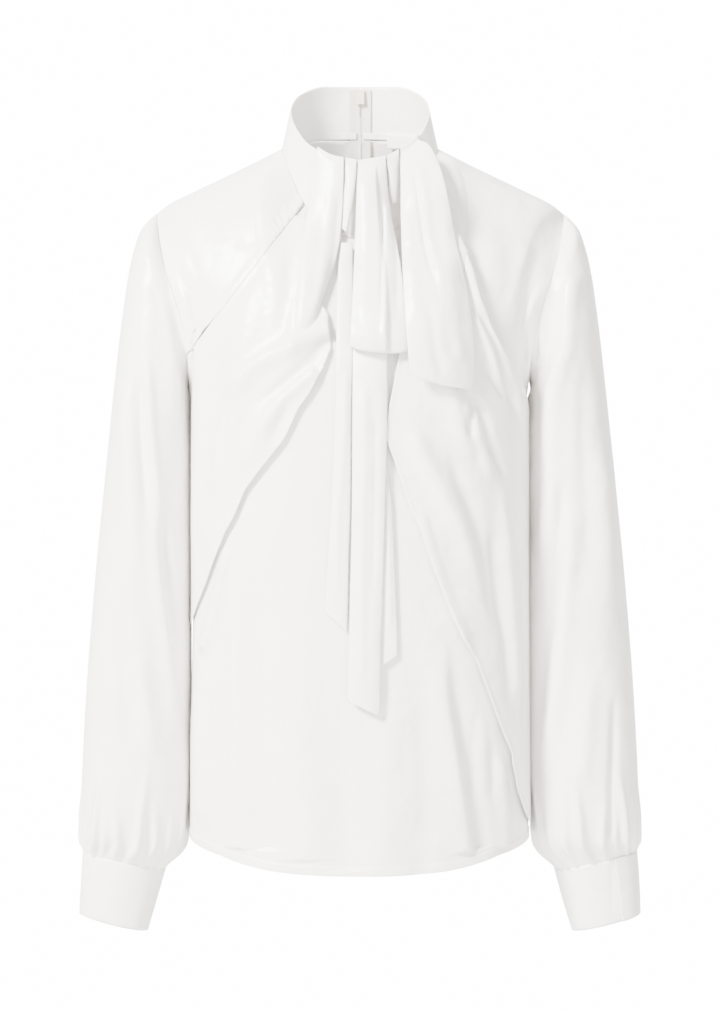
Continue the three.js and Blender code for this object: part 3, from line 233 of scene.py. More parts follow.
# Outward direction of the body wall.
def bodyNormal(column, part):
    column, part = np.broadcast_arrays(np.asarray(column, float), np.asarray(part, float))
    u = np.clip(column, -179.4, 179.4)
    v = np.clip(part, 0.012, 1.99)
    across = plainBody(u + 0.5, v) - plainBody(u - 0.5, v)
    down = plainBody(u, v + 0.01) - plainBody(u, v - 0.01)
    return -unit(np.cross(across, down))


# Nearest distance to a line of points, on which side of it, and how far along it.
def beside(line, x, z):
    best = np.full(np.shape(x), np.inf)
    sign = np.ones(np.shape(x))
    along = np.zeros(np.shape(x))
    count = len(line) - 1
    for i in range(count):
        ax, az = line[i]
        dx = line[i + 1][0] - ax
        dz = line[i + 1][1] - az
        s = np.clip(((x - ax) * dx + (z - az) * dz) / (dx * dx + dz * dz), 0, 1)
        px = x - ax - dx * s
        pz = z - az - dz * s
        off = np.hypot(px, pz)
        near = off < best
        best = np.where(near, off, best)
        sign = np.where(near, np.where(dx * pz - dz * px < 0, -1, 1), sign)
        along = np.where(near, (i + s) / count, along)
    return best, sign, along


# More points on a smooth line through the given ones.
def smoothLine(line, times=4):
    p = np.asarray(line, float)
    if len(p) < 3:
        return line
    p = np.vstack([2 * p[0] - p[1], p, 2 * p[-1] - p[-2]])
    out = []
    for i in range(1, len(p) - 2):
        for k in range(times):
            t = k / times
            a, b, c, d = p[i - 1], p[i], p[i + 1], p[i + 2]
            q = 2 * b + (c - a) * t + (2 * a - 5 * b + 4 * c - d) * t ** 2
            out.append((q + (3 * b - a - 3 * c + d) * t ** 3) / 2)
    return out + [p[-2]]


# Height of a set of folds at a point of the front view. A row gives the crease line, its half
# width to the left and right of the line as it runs down, its height and how long each end fades.
def foldHeight(rows, x, z):
    total = np.zeros(np.shape(x))
    for line, left, right, height, start, end in rows:
        off, sign, along = beside(smoothLine(line), x, z)
        width = np.where(sign > 0, right, left)
        fade = soft(along / max(start, 0.001)) * soft((1 - along) / max(end, 0.001))
        reach = np.exp(-((off / width) ** 2))
        total = total + height * fade * reach
    return total


# Signed distance to an outline of the front view, positive inside.
def insideOf(outline, x, z):
    line = list(outline) + [outline[0]]
    best = np.full(np.shape(x), np.inf)
    inside = np.zeros(np.shape(x), bool)
    for (ax, az), (bx, bz) in zip(line[:-1], line[1:]):
        dx = bx - ax
        dz = bz - az
        s = np.clip(((x - ax) * dx + (z - az) * dz) / (dx * dx + dz * dz), 0, 1)
        best = np.minimum(best, np.hypot(x - ax - dx * s, z - az - dz * s))
        crosses = (az > z) != (bz > z)
        rise = np.where(az == bz, 1, bz - az)
        inside ^= crosses & (x < (bx - ax) * (z - az) / rise + ax)
    return np.where(inside, best, -best)


frontFolds = [
    ([(76.4, -472.3), (79.1, -518.3), (86.5, -570.8), (93.9, -619.5), (101.2, -676.6)],
     12, 7, 2.6, 0.45, 0.01),
    ([(87.4, -465.9), (89, -515.3), (98.2, -570.5), (105.8, -619.5), (115, -674.8)],
     6, 11, -3.4, 0.45, 0.01),
    ([(112, -527.5), (110.4, -557.9), (107.4, -603.9), (105.8, -626)], 5, 5, -1.2, 0.4, 0.4),
    ([(122.4, -555.1), (126.1, -589.2), (127, -619.5), (126.1, -637.9)], 5, 4, -1.3, 0.4, 0.4),
    ([(132.5, -582.7), (136.2, -619.5), (139.9, -674.8)], 6, 5, 2.4, 0.3, 0.01),
    ([(-122.7, -383), (-133.4, -432.7), (-144.5, -475.1), (-154.9, -493.5)], 6, 4, 4, 0.15, 0.25),
    ([(-112.3, -395), (-123.3, -441.9), (-134.4, -486.1), (-144.5, -518.3)], 6, 6, -2, 0.2, 0.3),
    ([(-114.1, -371.1), (-116.9, -435.5), (-117.8, -515.6), (-116.9, -619.5), (-115, -674.8)],
     10, 9, 2.2, 0.2, 0.01),
    ([(-90.2, -398.7), (-93.9, -481.5), (-90.2, -582.7), (-86.5, -674.8)], 11, 11, -1.5, 0.3, 0.01),
    ([(-51.5, -417.1), (-57.1, -509.1), (-55.2, -601.1), (-51.5, -684)], 20, 18, 1.9, 0.3, 0.01),
    ([(-14.7, -527.5), (-18.4, -601.1), (-12.9, -693.2)], 16, 14, -1.6, 0.3, 0.01),
    ([(22.1, -518.3), (25.8, -610.3), (22.1, -702.4)], 18, 15, 1.8, 0.3, 0.01),
    ([(51.5, -472.3), (58.9, -545.9), (62.6, -619.5), (58.9, -702.4)], 12, 12, -1.7, 0.3, 0.01),
    ([(-154.6, -527.5), (-156.4, -582.7), (-150.9, -647.2)], 8, 8, 1.6, 0.3, 0.01),
]
leftYokeFolds = [
    ([(-176.7, -96.9), (-160.1, -131.8), (-149.1, -168.6), (-150.9, -200.8)], 8, 6, 1.6, 0.2, 0.3),
    ([(-114.1, -58.2), (-123.3, -85.8), (-134.4, -120.8)], 14, 14, 1.2, 0.3, 0.3),
    ([(-90.2, -67.4), (-101.2, -87.7), (-112.3, -107.9)], 9, 9, -0.8, 0.3, 0.3),
]
rightYokeFolds = [
    ([(165.6, -87.7), (153.7, -122.6), (148.2, -159.4), (145.4, -196.2)], 7, 8, 1.8, 0.2, 0.3),
    ([(114.1, -67.4), (127, -104.2), (134.4, -150.2)], 12, 12, 1.3, 0.3, 0.3),
    ([(97.5, -72), (110.4, -108.8), (121.5, -150.2)], 7, 7, -0.9, 0.3, 0.3),
]
leftDrapeFolds = [
    ([(-22.1, -192.6), (-35, -199.9), (-46, -214.6), (-64.4, -230.3), (-81, -243.2), (-101.2, -255.1)],
     5, 6, -4.6, 0.12, 0.35),
    ([(-23.9, -183.4), (-42.3, -188.9), (-64.4, -200.8), (-90.2, -212.8), (-114.1, -236.7),
      (-123.3, -260.7)],
     8, 9, 4.4, 0.08, 0.35),
    ([(-38.6, -220.2), (-55.2, -230.3), (-69.9, -245.9), (-84.7, -269.9), (-90.2, -297.5)],
     6, 8, 3.6, 0.1, 0.35),
    ([(-49.7, -73.9), (-55.2, -118), (-59.8, -159.4), (-62.6, -191.6), (-65.3, -219.2)],
     7, 8, 2.2, 0.2, 0.2),
    ([(-62.6, -104.2), (-69.9, -159.4), (-73.6, -196.2)], 8, 8, -1.6, 0.25, 0.25),
    ([(-99.4, -124.5), (-104.9, -177.8), (-112.3, -233.1), (-123.3, -288.3), (-136.2, -343.5)],
     13, 12, 3, 0.2, 0.25),
    ([(-117.8, -225.7), (-123.3, -279.1), (-127, -313.1)], 4, 4, -1.6, 0.3, 0.3),
    ([(-127, -168.6), (-134.4, -233.1), (-143.6, -297.5), (-150.9, -361.9)], 9, 9, -2, 0.25, 0.25),
    ([(-82.8, -253.3), (-95.7, -284.6), (-106.7, -315.9)], 7, 7, 2.2, 0.25, 0.3),
    ([(-58.9, -240.4), (-73.6, -269.9), (-84.7, -293.8)], 5, 5, -1.5, 0.25, 0.3),
    ([(-143.6, -214.6), (-149.1, -279.1), (-154.6, -343.5), (-160.1, -398.7)], 7, 7, 2, 0.25, 0.25),
]
rightDrapeFolds = [
    ([(93.9, -100.5), (106.7, -150.2), (119.6, -187), (132.5, -216.5), (145.4, -249.6),
      (149.1, -279.1), (147.2, -315.9)],
     4, 6, 3.4, 0.1, 0.3),
    ([(106.7, -161.3), (119.6, -187), (128.8, -210), (138, -244.1), (139.9, -274.5)],
     3, 4, -3.2, 0.15, 0.3),
    ([(101.2, -159.4), (114.1, -190.7), (123.3, -214.6), (130.7, -242.3)], 4, 4, 2.6, 0.2, 0.3),
    ([(111.3, -198.1), (116.9, -219.2), (130.7, -242.3), (135.3, -246.9)], 3, 3, -2.6, 0.2, 0.3),
    ([(138, -223.9), (141.7, -244.1), (146.3, -269.9), (147.2, -297.5)], 3, 3, -2.4, 0.2, 0.3),
    ([(105.8, -244.1), (112.3, -260.7), (119.6, -290.1), (128.8, -313.1), (133.4, -325.1)],
     4, 4, -3, 0.2, 0.3),
    ([(95.7, -247.8), (104.9, -273.5), (114.1, -303), (123.3, -330.6)], 5, 6, 2.6, 0.2, 0.3),
    ([(104.9, -248.7), (101.2, -269.9), (100.3, -288.3)], 4, 4, -3, 0.2, 0.3),
    ([(40.5, -268), (57.1, -302.1), (70.9, -329.7), (82.8, -352.7), (89.3, -364.6),
      (101.2, -395.9), (110.4, -435.5)],
     9, 11, 4.4, 0.12, 0.3),
    ([(79.1, -293.8), (93.9, -330.6), (106.7, -371.1), (119.6, -426.3), (128.8, -481.5)],
     7, 8, -2.6, 0.2, 0.25),
    ([(64.4, -220.2), (82.8, -242.3), (93.9, -279.1), (108.6, -315.9)], 9, 9, 3, 0.2, 0.3),
    ([(128.8, -325.1), (136.2, -398.7), (141.7, -472.3), (145.4, -545.9)], 6, 7, 3.6, 0.2, 0.15),
    ([(118.7, -361.9), (127, -426.3), (133.4, -490.7), (138, -542.2)], 4, 5, -2.6, 0.2, 0.2),
    ([(142.6, -562.5), (136.2, -579.1), (141.7, -595.6)], 4, 4, 1, 0.3, 0.3),
    ([(135.3, -566.2), (143.6, -584.6), (138, -606.7)], 3, 3, -0.8, 0.3, 0.3),
    ([(150.9, -398.7), (152.8, -472.3), (153.7, -545.9), (156.4, -610.3)], 5, 5, -2, 0.2, 0.2),
    ([(53.4, -349), (68.1, -398.7), (84.7, -446.5), (104.9, -494.4)], 5, 5, 1.8, 0.1, 0.1),
]
backFolds = [
    ([(-60, -180), (-72, -330), (-66, -520), (-64, -690)], 20, 16, 3.2, 0.3, 0.01),
    ([(-90, -260), (-98, -400), (-92, -690)], 12, 15, -1.8, 0.3, 0.01),
    ([(55, -200), (68, -360), (60, -560), (64, -690)], 16, 19, 3.4, 0.3, 0.01),
    ([(88, -300), (92, -460), (86, -690)], 13, 12, -1.9, 0.3, 0.01),
    ([(112, -260), (118, -420), (110, -690)], 13, 14, 3, 0.3, 0.01),
    ([(-118, -250), (-122, -450), (-112, -690)], 14, 12, 3.1, 0.3, 0.01),
    ([(26, -380), (30, -520), (24, -690)], 13, 12, 2.2, 0.3, 0.01),
    ([(-28, -420), (-32, -560), (-26, -690)], 12, 13, 2, 0.3, 0.01),
    ([(-150, -300), (-148, -460), (-151, -690)], 7, 8, 1.7, 0.3, 0.01),
    ([(140, -60), (128, -130), (120, -200)], 12, 12, 1.8, 0.3, 0.4),
    ([(-140, -60), (-126, -130), (-122, -210)], 12, 12, 1.7, 0.3, 0.4),
]
leftSleeveFolds = [
    ([(-196.2, -94.3), (-188.7, -135.8), (-182, -206.6), (-179.2, -249), (-181.1, -286.7)],
     6, 5, 3.2, 0.15, 0.4),
    ([(-205.6, -192.4), (-202.8, -234.9), (-200.9, -277.3), (-193.4, -357.5), (-188.7, -399.9)],
     7, 5, 3.6, 0.25, 0.4),
    ([(-209.4, -211.3), (-211.3, -258.4), (-207.5, -315), (-201.9, -381.1)], 5, 6, -3.6, 0.3, 0.4),
    ([(-222.6, -183), (-224.5, -267.9), (-216.9, -362.2), (-211.3, -456.5)], 10, 9, 3, 0.3, 0.4),
    ([(-192.4, -343.3), (-185.8, -409.4), (-179.2, -475.4), (-169.8, -541.4), (-160.4, -598)],
     5, 5, -3.4, 0.2, 0.3),
    ([(-201.9, -343.3), (-194.3, -418.8), (-186.8, -484.8), (-177.3, -547.1), (-167, -599.9)],
     7, 5, 3, 0.2, 0.3),
    ([(-179.2, -117), (-171.7, -154.7), (-164.1, -201.9)], 4, 4, -1.4, 0.2, 0.3),
    ([(-233.9, -437.7), (-226.4, -513.1), (-218.8, -588.6)], 10, 10, -1.8, 0.3, 0.3),
    ([(-215.1, -475.4), (-205.6, -541.4), (-198.1, -598)], 9, 8, 2.4, 0.3, 0.3),
]
rightSleeveFolds = [
    ([(182, -105.6), (176.4, -145.3), (175.4, -187.7), (177.3, -222.6)], 4, 5, 3, 0.15, 0.3),
    ([(181.1, -154.7), (179.2, -201.9), (177.3, -239.6)], 4, 4, -3, 0.25, 0.35),
    ([(205.6, -118.8), (200, -151.9), (198.1, -192.4), (190.5, -220.7), (183.9, -265.1),
      (185.8, -357.5), (184.9, -418.8)],
     7, 9, 3.8, 0.12, 0.3),
    ([(194.3, -315), (191.5, -362.2), (185.8, -406.5), (181.1, -468.8), (172.6, -532), (163.2, -626.3)],
     4, 5, -4.2, 0.2, 0.2),
    ([(177.3, -324.5), (174.5, -399.9), (169.8, -475.4), (164.1, -550.9), (158.5, -607.5)],
     4, 4, 2.8, 0.2, 0.2),
    ([(205.6, -343.3), (200, -418.8), (194.3, -484.8), (184.9, -560.3), (177.3, -626.3)],
     6, 8, 3, 0.2, 0.3),
    ([(218.8, -183), (215.1, -267.9), (218.8, -362.2), (222.6, -437.7)], 9, 9, -2, 0.3, 0.4),
    ([(233.9, -267.9), (237.7, -362.2), (241.5, -456.5)], 10, 8, 2.4, 0.3, 0.4),
    ([(245.2, -522.6), (244.3, -579.2), (242.4, -635.7), (240.5, -670.6)], 4, 4, -2.6, 0.3, 0.1),
    ([(222.6, -494.3), (216.9, -569.7), (213.2, -626.3)], 9, 8, 2.2, 0.3, 0.3),
]
# Folds on the sleeve's back: turn round it, ring, width in degrees, length in rings, height.
hiddenSleeveFolds = [
    (232, 5, 15, 3, 4.5), (285, 6.4, 14, 3, 4.5), (258, 4, 10, 2.6, -3), (212, 7, 9, 2.2, 3),
    (308, 4.4, 12, 2.4, 3), (330, 7, 10, 2.6, -2), (246, 8, 9, 1.8, -2.4),
]

# How much stronger each piece shows its folds than its table says.
gain = {"front": 1.5, "yoke": 1.5, "drape": 1.35, "back": 1.3, "sleeve": 1.6}
pressed = {"seamBand": 7.5, "seamRise": 1.7, "hemDepth": 8, "hemRise": 0.55}


# Rise of a pressed double edge that ends with a small step.
def doubled(distance, depth, rise):
    past = distance - depth
    return rise * (1 - soft((past + 0.7) / 1.4)) - 0.35 * np.exp(-(((past - 0.9) / 1.1) ** 2))


# Folds die away towards the top edge and the side seams.
def edgeCalm(column, part):
    b = np.abs(column)
    toSide = 90 - np.minimum(b, 180 - b)
    return soft((part - 0.06) * 4) * soft(toSide / 9 + 0.04)


def hemRise(part, column):
    c = np.abs(np.cos(column * degrees)) ** 1.3
    length = body["hemSide"] - body["hemDrop"] * c - body["bustZ"]
    return doubled((2 - part) * np.abs(length), pressed["hemDepth"], pressed["hemRise"])


def onBody(column, part, lift):
    column, part = np.broadcast_arrays(np.asarray(column, float), np.asarray(part, float))
    return plainBody(column, part) + bodyNormal(column, part) * lift[..., None]


def panelPoint(column, part):
    p = plainBody(column, part)
    off = gain["front"] * foldHeight(frontFolds, p[..., 0], p[..., 2]) * edgeCalm(column, part)
    return onBody(column, part, off + hemRise(part, column) * soft((part - 1.2) * 4))


def yokePoint(side):
    seamLine = yokeSeamLeft if side < 0 else yokeSeamRight
    folds = leftYokeFolds if side < 0 else rightYokeFolds

    def at(column, part):
        p = plainBody(column, part)
        off = gain["yoke"] * foldHeight(folds, p[..., 0], p[..., 2]) * edgeCalm(column, part)
        near = beside(seamLine, p[..., 0], p[..., 2])[0]
        band = doubled(near, pressed["seamBand"], pressed["seamRise"]) if side < 0 else 0
        return onBody(column, part, off + band)

    return at


def backPoint(column, part):
    p = plainBody(column, part)
    middle = soft(np.abs(p[..., 0]) / 12)
    off = gain["back"] * foldHeight(backFolds, p[..., 0], p[..., 2]) * edgeCalm(column, part) * middle
    return onBody(column, part, off + hemRise(part, column) * soft((part - 1.2) * 4))


# Over-panel: how far it stands off the panel under it.
def drapePoint(side):
    folds = leftDrapeFolds if side < 0 else rightDrapeFolds
    outline = drapeLeftOutline if side < 0 else drapeRightOutline

    def at(column, part):
        p = plainBody(column, part)
        x = p[..., 0]
        z = p[..., 2]
        under = gain["front"] * np.maximum(0, foldHeight(frontFolds, x, z) * edgeCalm(column, part))
        fromSide = soft((90 - np.abs(column)) / 26)
        low = 2.35 + 1.6 * soft((z + 125) / 60) + 0.75 * under
        if side < 0:
            near = beside(yokeSeamLeft, x, z)[0]
            off = soft(near / 45)
            rise = 3.2 * off * fromSide * (0.35 + 0.65 * soft((z + 480) / 120))
            lift = low + rise + gain["drape"] * foldHeight(folds, x, z) * soft(near / 16) * fromSide
        else:
            rise = 4.4 * fromSide * soft((-50 - z) / 60)
            lift = low + rise + gain["drape"] * foldHeight(folds, x, z) * fromSide
        free = np.maximum(0, insideOf(outline, x, z))
        lift = np.maximum(lift, 2 + 0.6 * under)
        if side < 0:
            lift = mix(1, lift, soft(near / 12))
        return onBody(column, part, lift + doubled(free, 3.2, 0.4) * fromSide)

    return at


# Rings down the sleeve from shoulder to cuff: outer and inner ends, and depth before and behind.
sleeveRings = {
    "outerX": [200, 212, 224, 232.6, 240.4, 249.4, 259, 267.4, 271.6, 273.2, 272.8, 271],
    "outerZ": [-61.5, -74, -110, -166, -235, -323, -421, -529, -608, -647, -671, -685],
    "innerX": [167.8, 167.8, 167.7, 167.5, 167.3, 167.3, 167.5, 167.9, 168.4, 169, 171.5, 191],
    "innerZ": [-226, -233, -246, -275, -319, -382, -451, -539, -606, -644, -677, -703],
    "front": [-49, -50, -54, -57, -57, -56, -55, -54, -52, -50, -44, -30],
    "back": [64, 65, 67, 68, 66, 64, 62, 60, 56, 53, 47, 33],
}
# Gathers above the cuff: turn round the wrist, reach up the sleeve, depth, and lean as they rise.
gathers = {
    "turn": [8, 25, 46, 62, 80, 96, 117, 134, 151, 170, 188, 207, 224, 243, 262, 281, 299, 317, 336, 352],
    "reach": [76, 52, 96, 44, 70, 100, 58, 48, 76, 54, 86, 48, 66, 92, 54, 74, 46, 84, 60, 50],
    "depth": [3.2, 2.2, 3.6, 2, 2.8, 3.6, 2.4, 2.2, 3, 2.2, 3.4, 2.2, 2.8, 3.6, 2.4, 3, 2, 3.2, 2.6, 2.2],
    "lean": [0.1, -0.08, 0.14, 0.02, -0.12, 0.1, -0.05, 0.13, 0.16, -0.1,
             0.08, -0.06, 0.12, -0.12, 0.05, 0.1, -0.09, 0.07, -0.04, 0.1],
    "width": 4.6,
    "gain": 1.9,
    "even": 0.03,
    "atCuff": 0.25,
    "rise": 9,
}
# How the sleeve meets its neighbours: the armhole, the body beside it and the cuff over its end.
sleeveFit = {
    "toBody": (2.2, 3.2),
    "seamOut": 0.5,
    "seamDown": 0.2,
    "middleZ": -694,
    "tuckIn": 1.6,
    "tuckDown": 2.6,
}
cuff = {
    "topOuter": (271, -685.8),
    "topInner": (191, -703.8),
    "bottomOuter": (274.5, -747.2),
    "bottomInner": (208.5, -764.4),
    "depth": (31.5, 29),
    "middleX": 231,
    "middleY": 1.5,
    "thick": 1.5,
    "start": {"right": 52, "left": 232},
    "lapHeight": 2.05,
}


def sleevePoint(side, row, angle):
    keys = range(len(sleeveRings["outerX"]))
    v = {name: curve(keys, values, row) for name, values in sleeveRings.items()}
    c = powered(np.cos(angle * degrees), 0.9)
    s = powered(np.sin(angle * degrees), 0.9)
    x = (v["outerX"] + v["innerX"]) / 2 + (v["outerX"] - v["innerX"]) / 2 * c
    z = (v["outerZ"] + v["innerZ"]) / 2 + (v["outerZ"] - v["innerZ"]) / 2 * c
    middle = 5 * (1 - soft(row / 8))
    y = np.where(s > 0, middle + (v["front"] - middle) * s, middle - (v["back"] - middle) * s)
    return points(side * x, y, z)


def armholePoint(side, angle):
    a = angle % 360
    t = np.where(a <= 180, a, 360 - a) / 180
    x, front, back, z = [curve(armhole["part"], armhole[k], t) for k in ("x", "front", "back", "z")]
    return points(side * x, np.where(a <= 180, front, back), z)


def turnGap(angle, turn):
    return np.abs((angle - turn + 540) % 360 - 180)


def gatherHeight(angle, distance):
    total = np.zeros(np.shape(angle))
    for turn, reach, depth, lean in zip(*[gathers[k] for k in ("turn", "reach", "depth", "lean")]):
        off = turnGap(angle - lean * distance, turn)
        fade = (1 - soft(distance / reach)) * mix(gathers["atCuff"], 1, soft(distance / gathers["rise"]))
        ridge = np.exp(-((off / gathers["width"]) ** 2)) - gathers["even"]
        total = total + gathers["gain"] * depth * fade * ridge
    return total


def sleeveSurface(side, row, angle):
    keys = range(len(sleeveRings["outerX"]))
    p = sleevePoint(side, row, angle)
    across = sleevePoint(side, row, angle + 1) - sleevePoint(side, row, angle - 1)
    along = sleevePoint(side, row + 0.05, angle) - sleevePoint(side, np.maximum(row - 0.05, 0), angle)
    n = unit(np.cross(across, along))
    centre = sleevePoint(side, row, angle + 180)
    out = np.where(np.sum(n * (p - centre), axis=-1) < 0, -1, 1)[..., None]
    folds = leftSleeveFolds if side < 0 else rightSleeveFolds
    facing = soft((np.sin(angle * degrees) - 0.04) / 0.2)
    lift = gain["sleeve"] * foldHeight(folds, p[..., 0], p[..., 2]) * facing
    for turn, at, wide, long, height in hiddenSleeveFolds:
        lift = lift + height * np.exp(-((turnGap(angle, turn) / wide) ** 2) - ((row - at) / long) ** 2)
    lift = lift * soft((turnGap(angle, 180) - 24) / 30) * soft(row / 1.6) * soft((11.4 - row) / 1.2)
    toCuff = curve(keys, sleeveRings["outerZ"], row) - sleeveRings["outerZ"][-1]
    lift = lift + gatherHeight(angle, toCuff)
    inner = np.exp(-((turnGap(angle, 180) / 26) ** 2)) * soft((row - 1.2) / 0.8) * soft((9.6 - row) / 1.2)
    lift = lift + sleeveFit["toBody"][0 if side < 0 else 1] * inner
    hole = armholePoint(side, angle) + np.array([side * sleeveFit["seamOut"], 0, -sleeveFit["seamDown"]])
    made = mix(hole, p + n * out * lift[..., None], soft(row / 1.3)[..., None])
    under = soft((row - 10.985) / 0.01)[..., None]
    middle = np.array([side * cuff["middleX"], cuff["middleY"], sleeveFit["middleZ"]])
    tucked = unit(middle - p) * np.array([1, 1, 0]) * sleeveFit["tuckIn"]
    return made + under * (tucked - np.array([0, 0, sleeveFit["tuckDown"]]))


# Cuff: a strip wound once round the wrist, its end lying over its start.
def cuffPoint(side, turned, part):
    start = cuff["start"]["right" if side > 0 else "left"]
    angle = (start + turned) * degrees
    ox, oz = [mix(cuff["topOuter"][i], cuff["bottomOuter"][i], part) for i in (0, 1)]
    ix, iz = [mix(cuff["topInner"][i], cuff["bottomInner"][i], part) for i in (0, 1)]
    depth = mix(cuff["depth"][0], cuff["depth"][1], part)
    c = np.cos(angle)
    s = np.sin(angle)
    over = cuff["lapHeight"] * soft((turned - 325) / 36)
    swell = 0.7 * np.sin(part * np.pi) * (0.5 + 0.5 * np.sin(angle * 2 + 0.7 * side))
    crease = -0.9 * np.exp(-(((turned - 18 - 14 * part) / 4) ** 2)) * np.sin(part * np.pi * 0.9 + 0.3)
    off = over + swell + crease
    x = mix(ix, ox, 0.5 + 0.5 * c) + off * c
    z = mix(iz, oz, 0.5 + 0.5 * c)
    return points(side * x, cuff["middleY"] - (depth + off) * s, z)


# Strip inside the collar seam, a distance inward of the collar.
def insidePoint(angle, part, inward):
    p = collarPoint(angle, part)
    flat = np.hypot(p[..., 0], p[..., 1])
    more = 1.9 * soft((np.abs(angle) - 163) / 6) if inward < 2 else 0
    off = 1 - (inward + more) / flat
    return points(p[..., 0] * off, p[..., 1] * off, p[..., 2])


# Depth of the front: collar above the neckline, body below it.
def frontDepth(x, z):
    side = np.where(x < 0, -1, 1)
    ax = np.abs(x)
    part = np.full(np.shape(x), 0.5)
    for _ in range(8):
        half = mix(collarBase["half"], collarTop["half"], np.clip(part, -0.2, 1.2))
        angle = np.arcsin(np.clip(ax / half, 0, 0.999)) / degrees
        low = curve(collarLine["angle"], collarLine["base"], angle)
        high = curve(collarLine["angle"], collarLine["top"], angle)
        part = (z - low) / (high - low)
    onCollar = collarPoint(side * angle, np.clip(part, 0, 1))[..., 1]
    column = np.full(np.shape(x), 10.0)
    v = np.where(z < body["bustZ"], 1.2, 0.5)
    for _ in range(16):
        p = plainBody(column, v)
        du = (plainBody(column + 0.5, v) - p) / 0.5
        dv = (plainBody(column, v + 0.01) - p) / 0.01
        det = du[..., 0] * dv[..., 2] - dv[..., 0] * du[..., 2]
        det = np.where(np.abs(det) < 1e-6, 1e-6, det)
        ex = ax - p[..., 0]
        ez = z - p[..., 2]
        column = np.clip(column + (ex * dv[..., 2] - dv[..., 0] * ez) / det, 0.01, 88)
        v = np.clip(v + (du[..., 0] * ez - du[..., 2] * ex) / det, 0, 2)
    onWall = plainBody(side * column, v)[..., 1]
    return np.where(part >= 0, onCollar, onWall)


def topOfCollar(x):
    angle = np.arcsin(np.clip(np.abs(x) / collarTop["half"], 0, 0.999)) / degrees
    p = collarPoint(angle, 1)
    return p[..., 1], p[..., 2]


# Way of a tie over the collar's top edge: rise above it and depth behind it.
overCollar = [(-9, 4.2), (0, 3.6), (2.6, 0.2), (2.2, -4.2), (-3, -7)]


def rollOver(start, end, u):
    x = mix(start, end, u)
    y, z = topOfCollar(x)
    return [points(x, y + back, z + rise) for rise, back in overCollar]


# Rows of a hanging strip, lifted off the front: (left point, right point, lift or depths, fullness).
def hangingRows(rows, u):
    out = []
    for (ax, az), (bx, bz), lift, full in rows:
        x = mix(ax, bx, u)
        z = mix(az, bz, u)
        if isinstance(lift, dict):
            y = mix(lift["depth"][0], lift["depth"][1], u)
        else:
            left, right = lift if isinstance(lift, tuple) else (lift, lift)
            y = frontDepth(x, z) - mix(left, right, u)
        out.append(points(x, y - full * (1 - np.abs(2 * u - 1) ** 3), z))
    return out


def finer(rows, count):
    table = np.asarray(rows)
    keys = range(len(table))
    t = np.linspace(0, len(table) - 1, count)
    out = np.empty((count,) + table.shape[1:])
    for c in range(table.shape[1]):
        for k in range(3):
            out[:, c, k] = curve(keys, table[:, c, k], t)
    return out


def creased(grid, folds):
    out = np.array(grid)
    out[..., 1] -= foldHeight(folds, grid[..., 0], grid[..., 2])
    return out


def strip(rows, columns, count, over=None, folds=()):
    u = np.linspace(0, 1, columns)
    top = rollOver(over[0], over[1], u) if over else []
    grid = finer(top + hangingRows(rows, u), count)
    return creased(grid, folds) if folds else grid


bandLeftRows = [
    ((-47.8, -47), (-16.2, -50), 8, 4),
    ((-52.3, -84), (-18.5, -88), 10, 5),
    ((-56.5, -118), (-24, -118), 9.5, 5.5),
    ((-60, -148), (-33, -145), 8, 6),
    ((-62.5, -172), (-41, -168), 6.5, 5.5),
    ((-63.5, -190), (-46.5, -186), 5, 3.5),
]
foldLeftRows = [
    ((-13.6, -34), (-4, -36), 8, 2),
    ((-15, -52), (-6.5, -56), 9, 2),
    ((-15.6, -70), (-10, -74), 9.5, 1.5),
    ((-16.5, -84), (-13, -88), 9.5, 1),
]
loopRows = [
    ((-2.6, -42), (26, -40), 11, 4),
    ((-3.4, -66), (29, -66), 15.5, 4),
    ((-4.6, -100), (35, -100), 18, 4),
    ((-6, -132), (40, -132), 19, 4),
    ((-7.5, -164), (43, -166), 19, 4),
    ((-9.2, -188), (45, -192), 19, 4),
]
foldRightRows = [
    ((27.4, -34), (37.5, -30), 5.5, 2),
    ((28.2, -48), (36.5, -44), 7, 2),
    ((30.5, -60), (35, -58), 8, 1),
]
endRightRows = [
    ((39, -24), (65, 0), {"depth": (-65, -49)}, 3),
    ((39, -44), (76, -24), {"depth": (-79, -70)}, 4),
    ((39, -68), (83.5, -58), {"depth": (-88, -92)}, 4.5),
    ((39.6, -96), (90, -92), (23, 13), 5),
    ((40.6, -132), (97.5, -128), (24.5, 14), 4.5),
    ((42.3, -168), (104, -164), (24.5, 15), 4),
    ((44.5, -200), (108, -200), (24, 16), 3.5),
    ((46.7, -222), (108.4, -226), (23.5, 16), 3),
    ((52, -227.5), (107.2, -234.5), (23.5, 16), 2.5),
    ((76, -236), (103.5, -240), (21, 17), 1.5),
]
tailLeftRows = [
    ((-17.5, -98), (-7.4, -98), 8.5, 1),
    ((-20.5, -128), (-7, -128), 8.8, 1.5),
    ((-21.6, -160), (-6.8, -160), 9, 1.5),
    ((-22.1, -205), (-7.3, -205), 8.8, 1.5),
    ((-22.5, -250), (-8.4, -250), 6.5, 1.5),
    ((-26.3, -343), (-9, -343), 5, 2),
    ((-30, -405), (-10.8, -405), 5, 2),
    ((-32.2, -436), (-11.6, -448), 5, 2),
    ((-32.8, -448), (-12.6, -467), 5, 1.5),
]
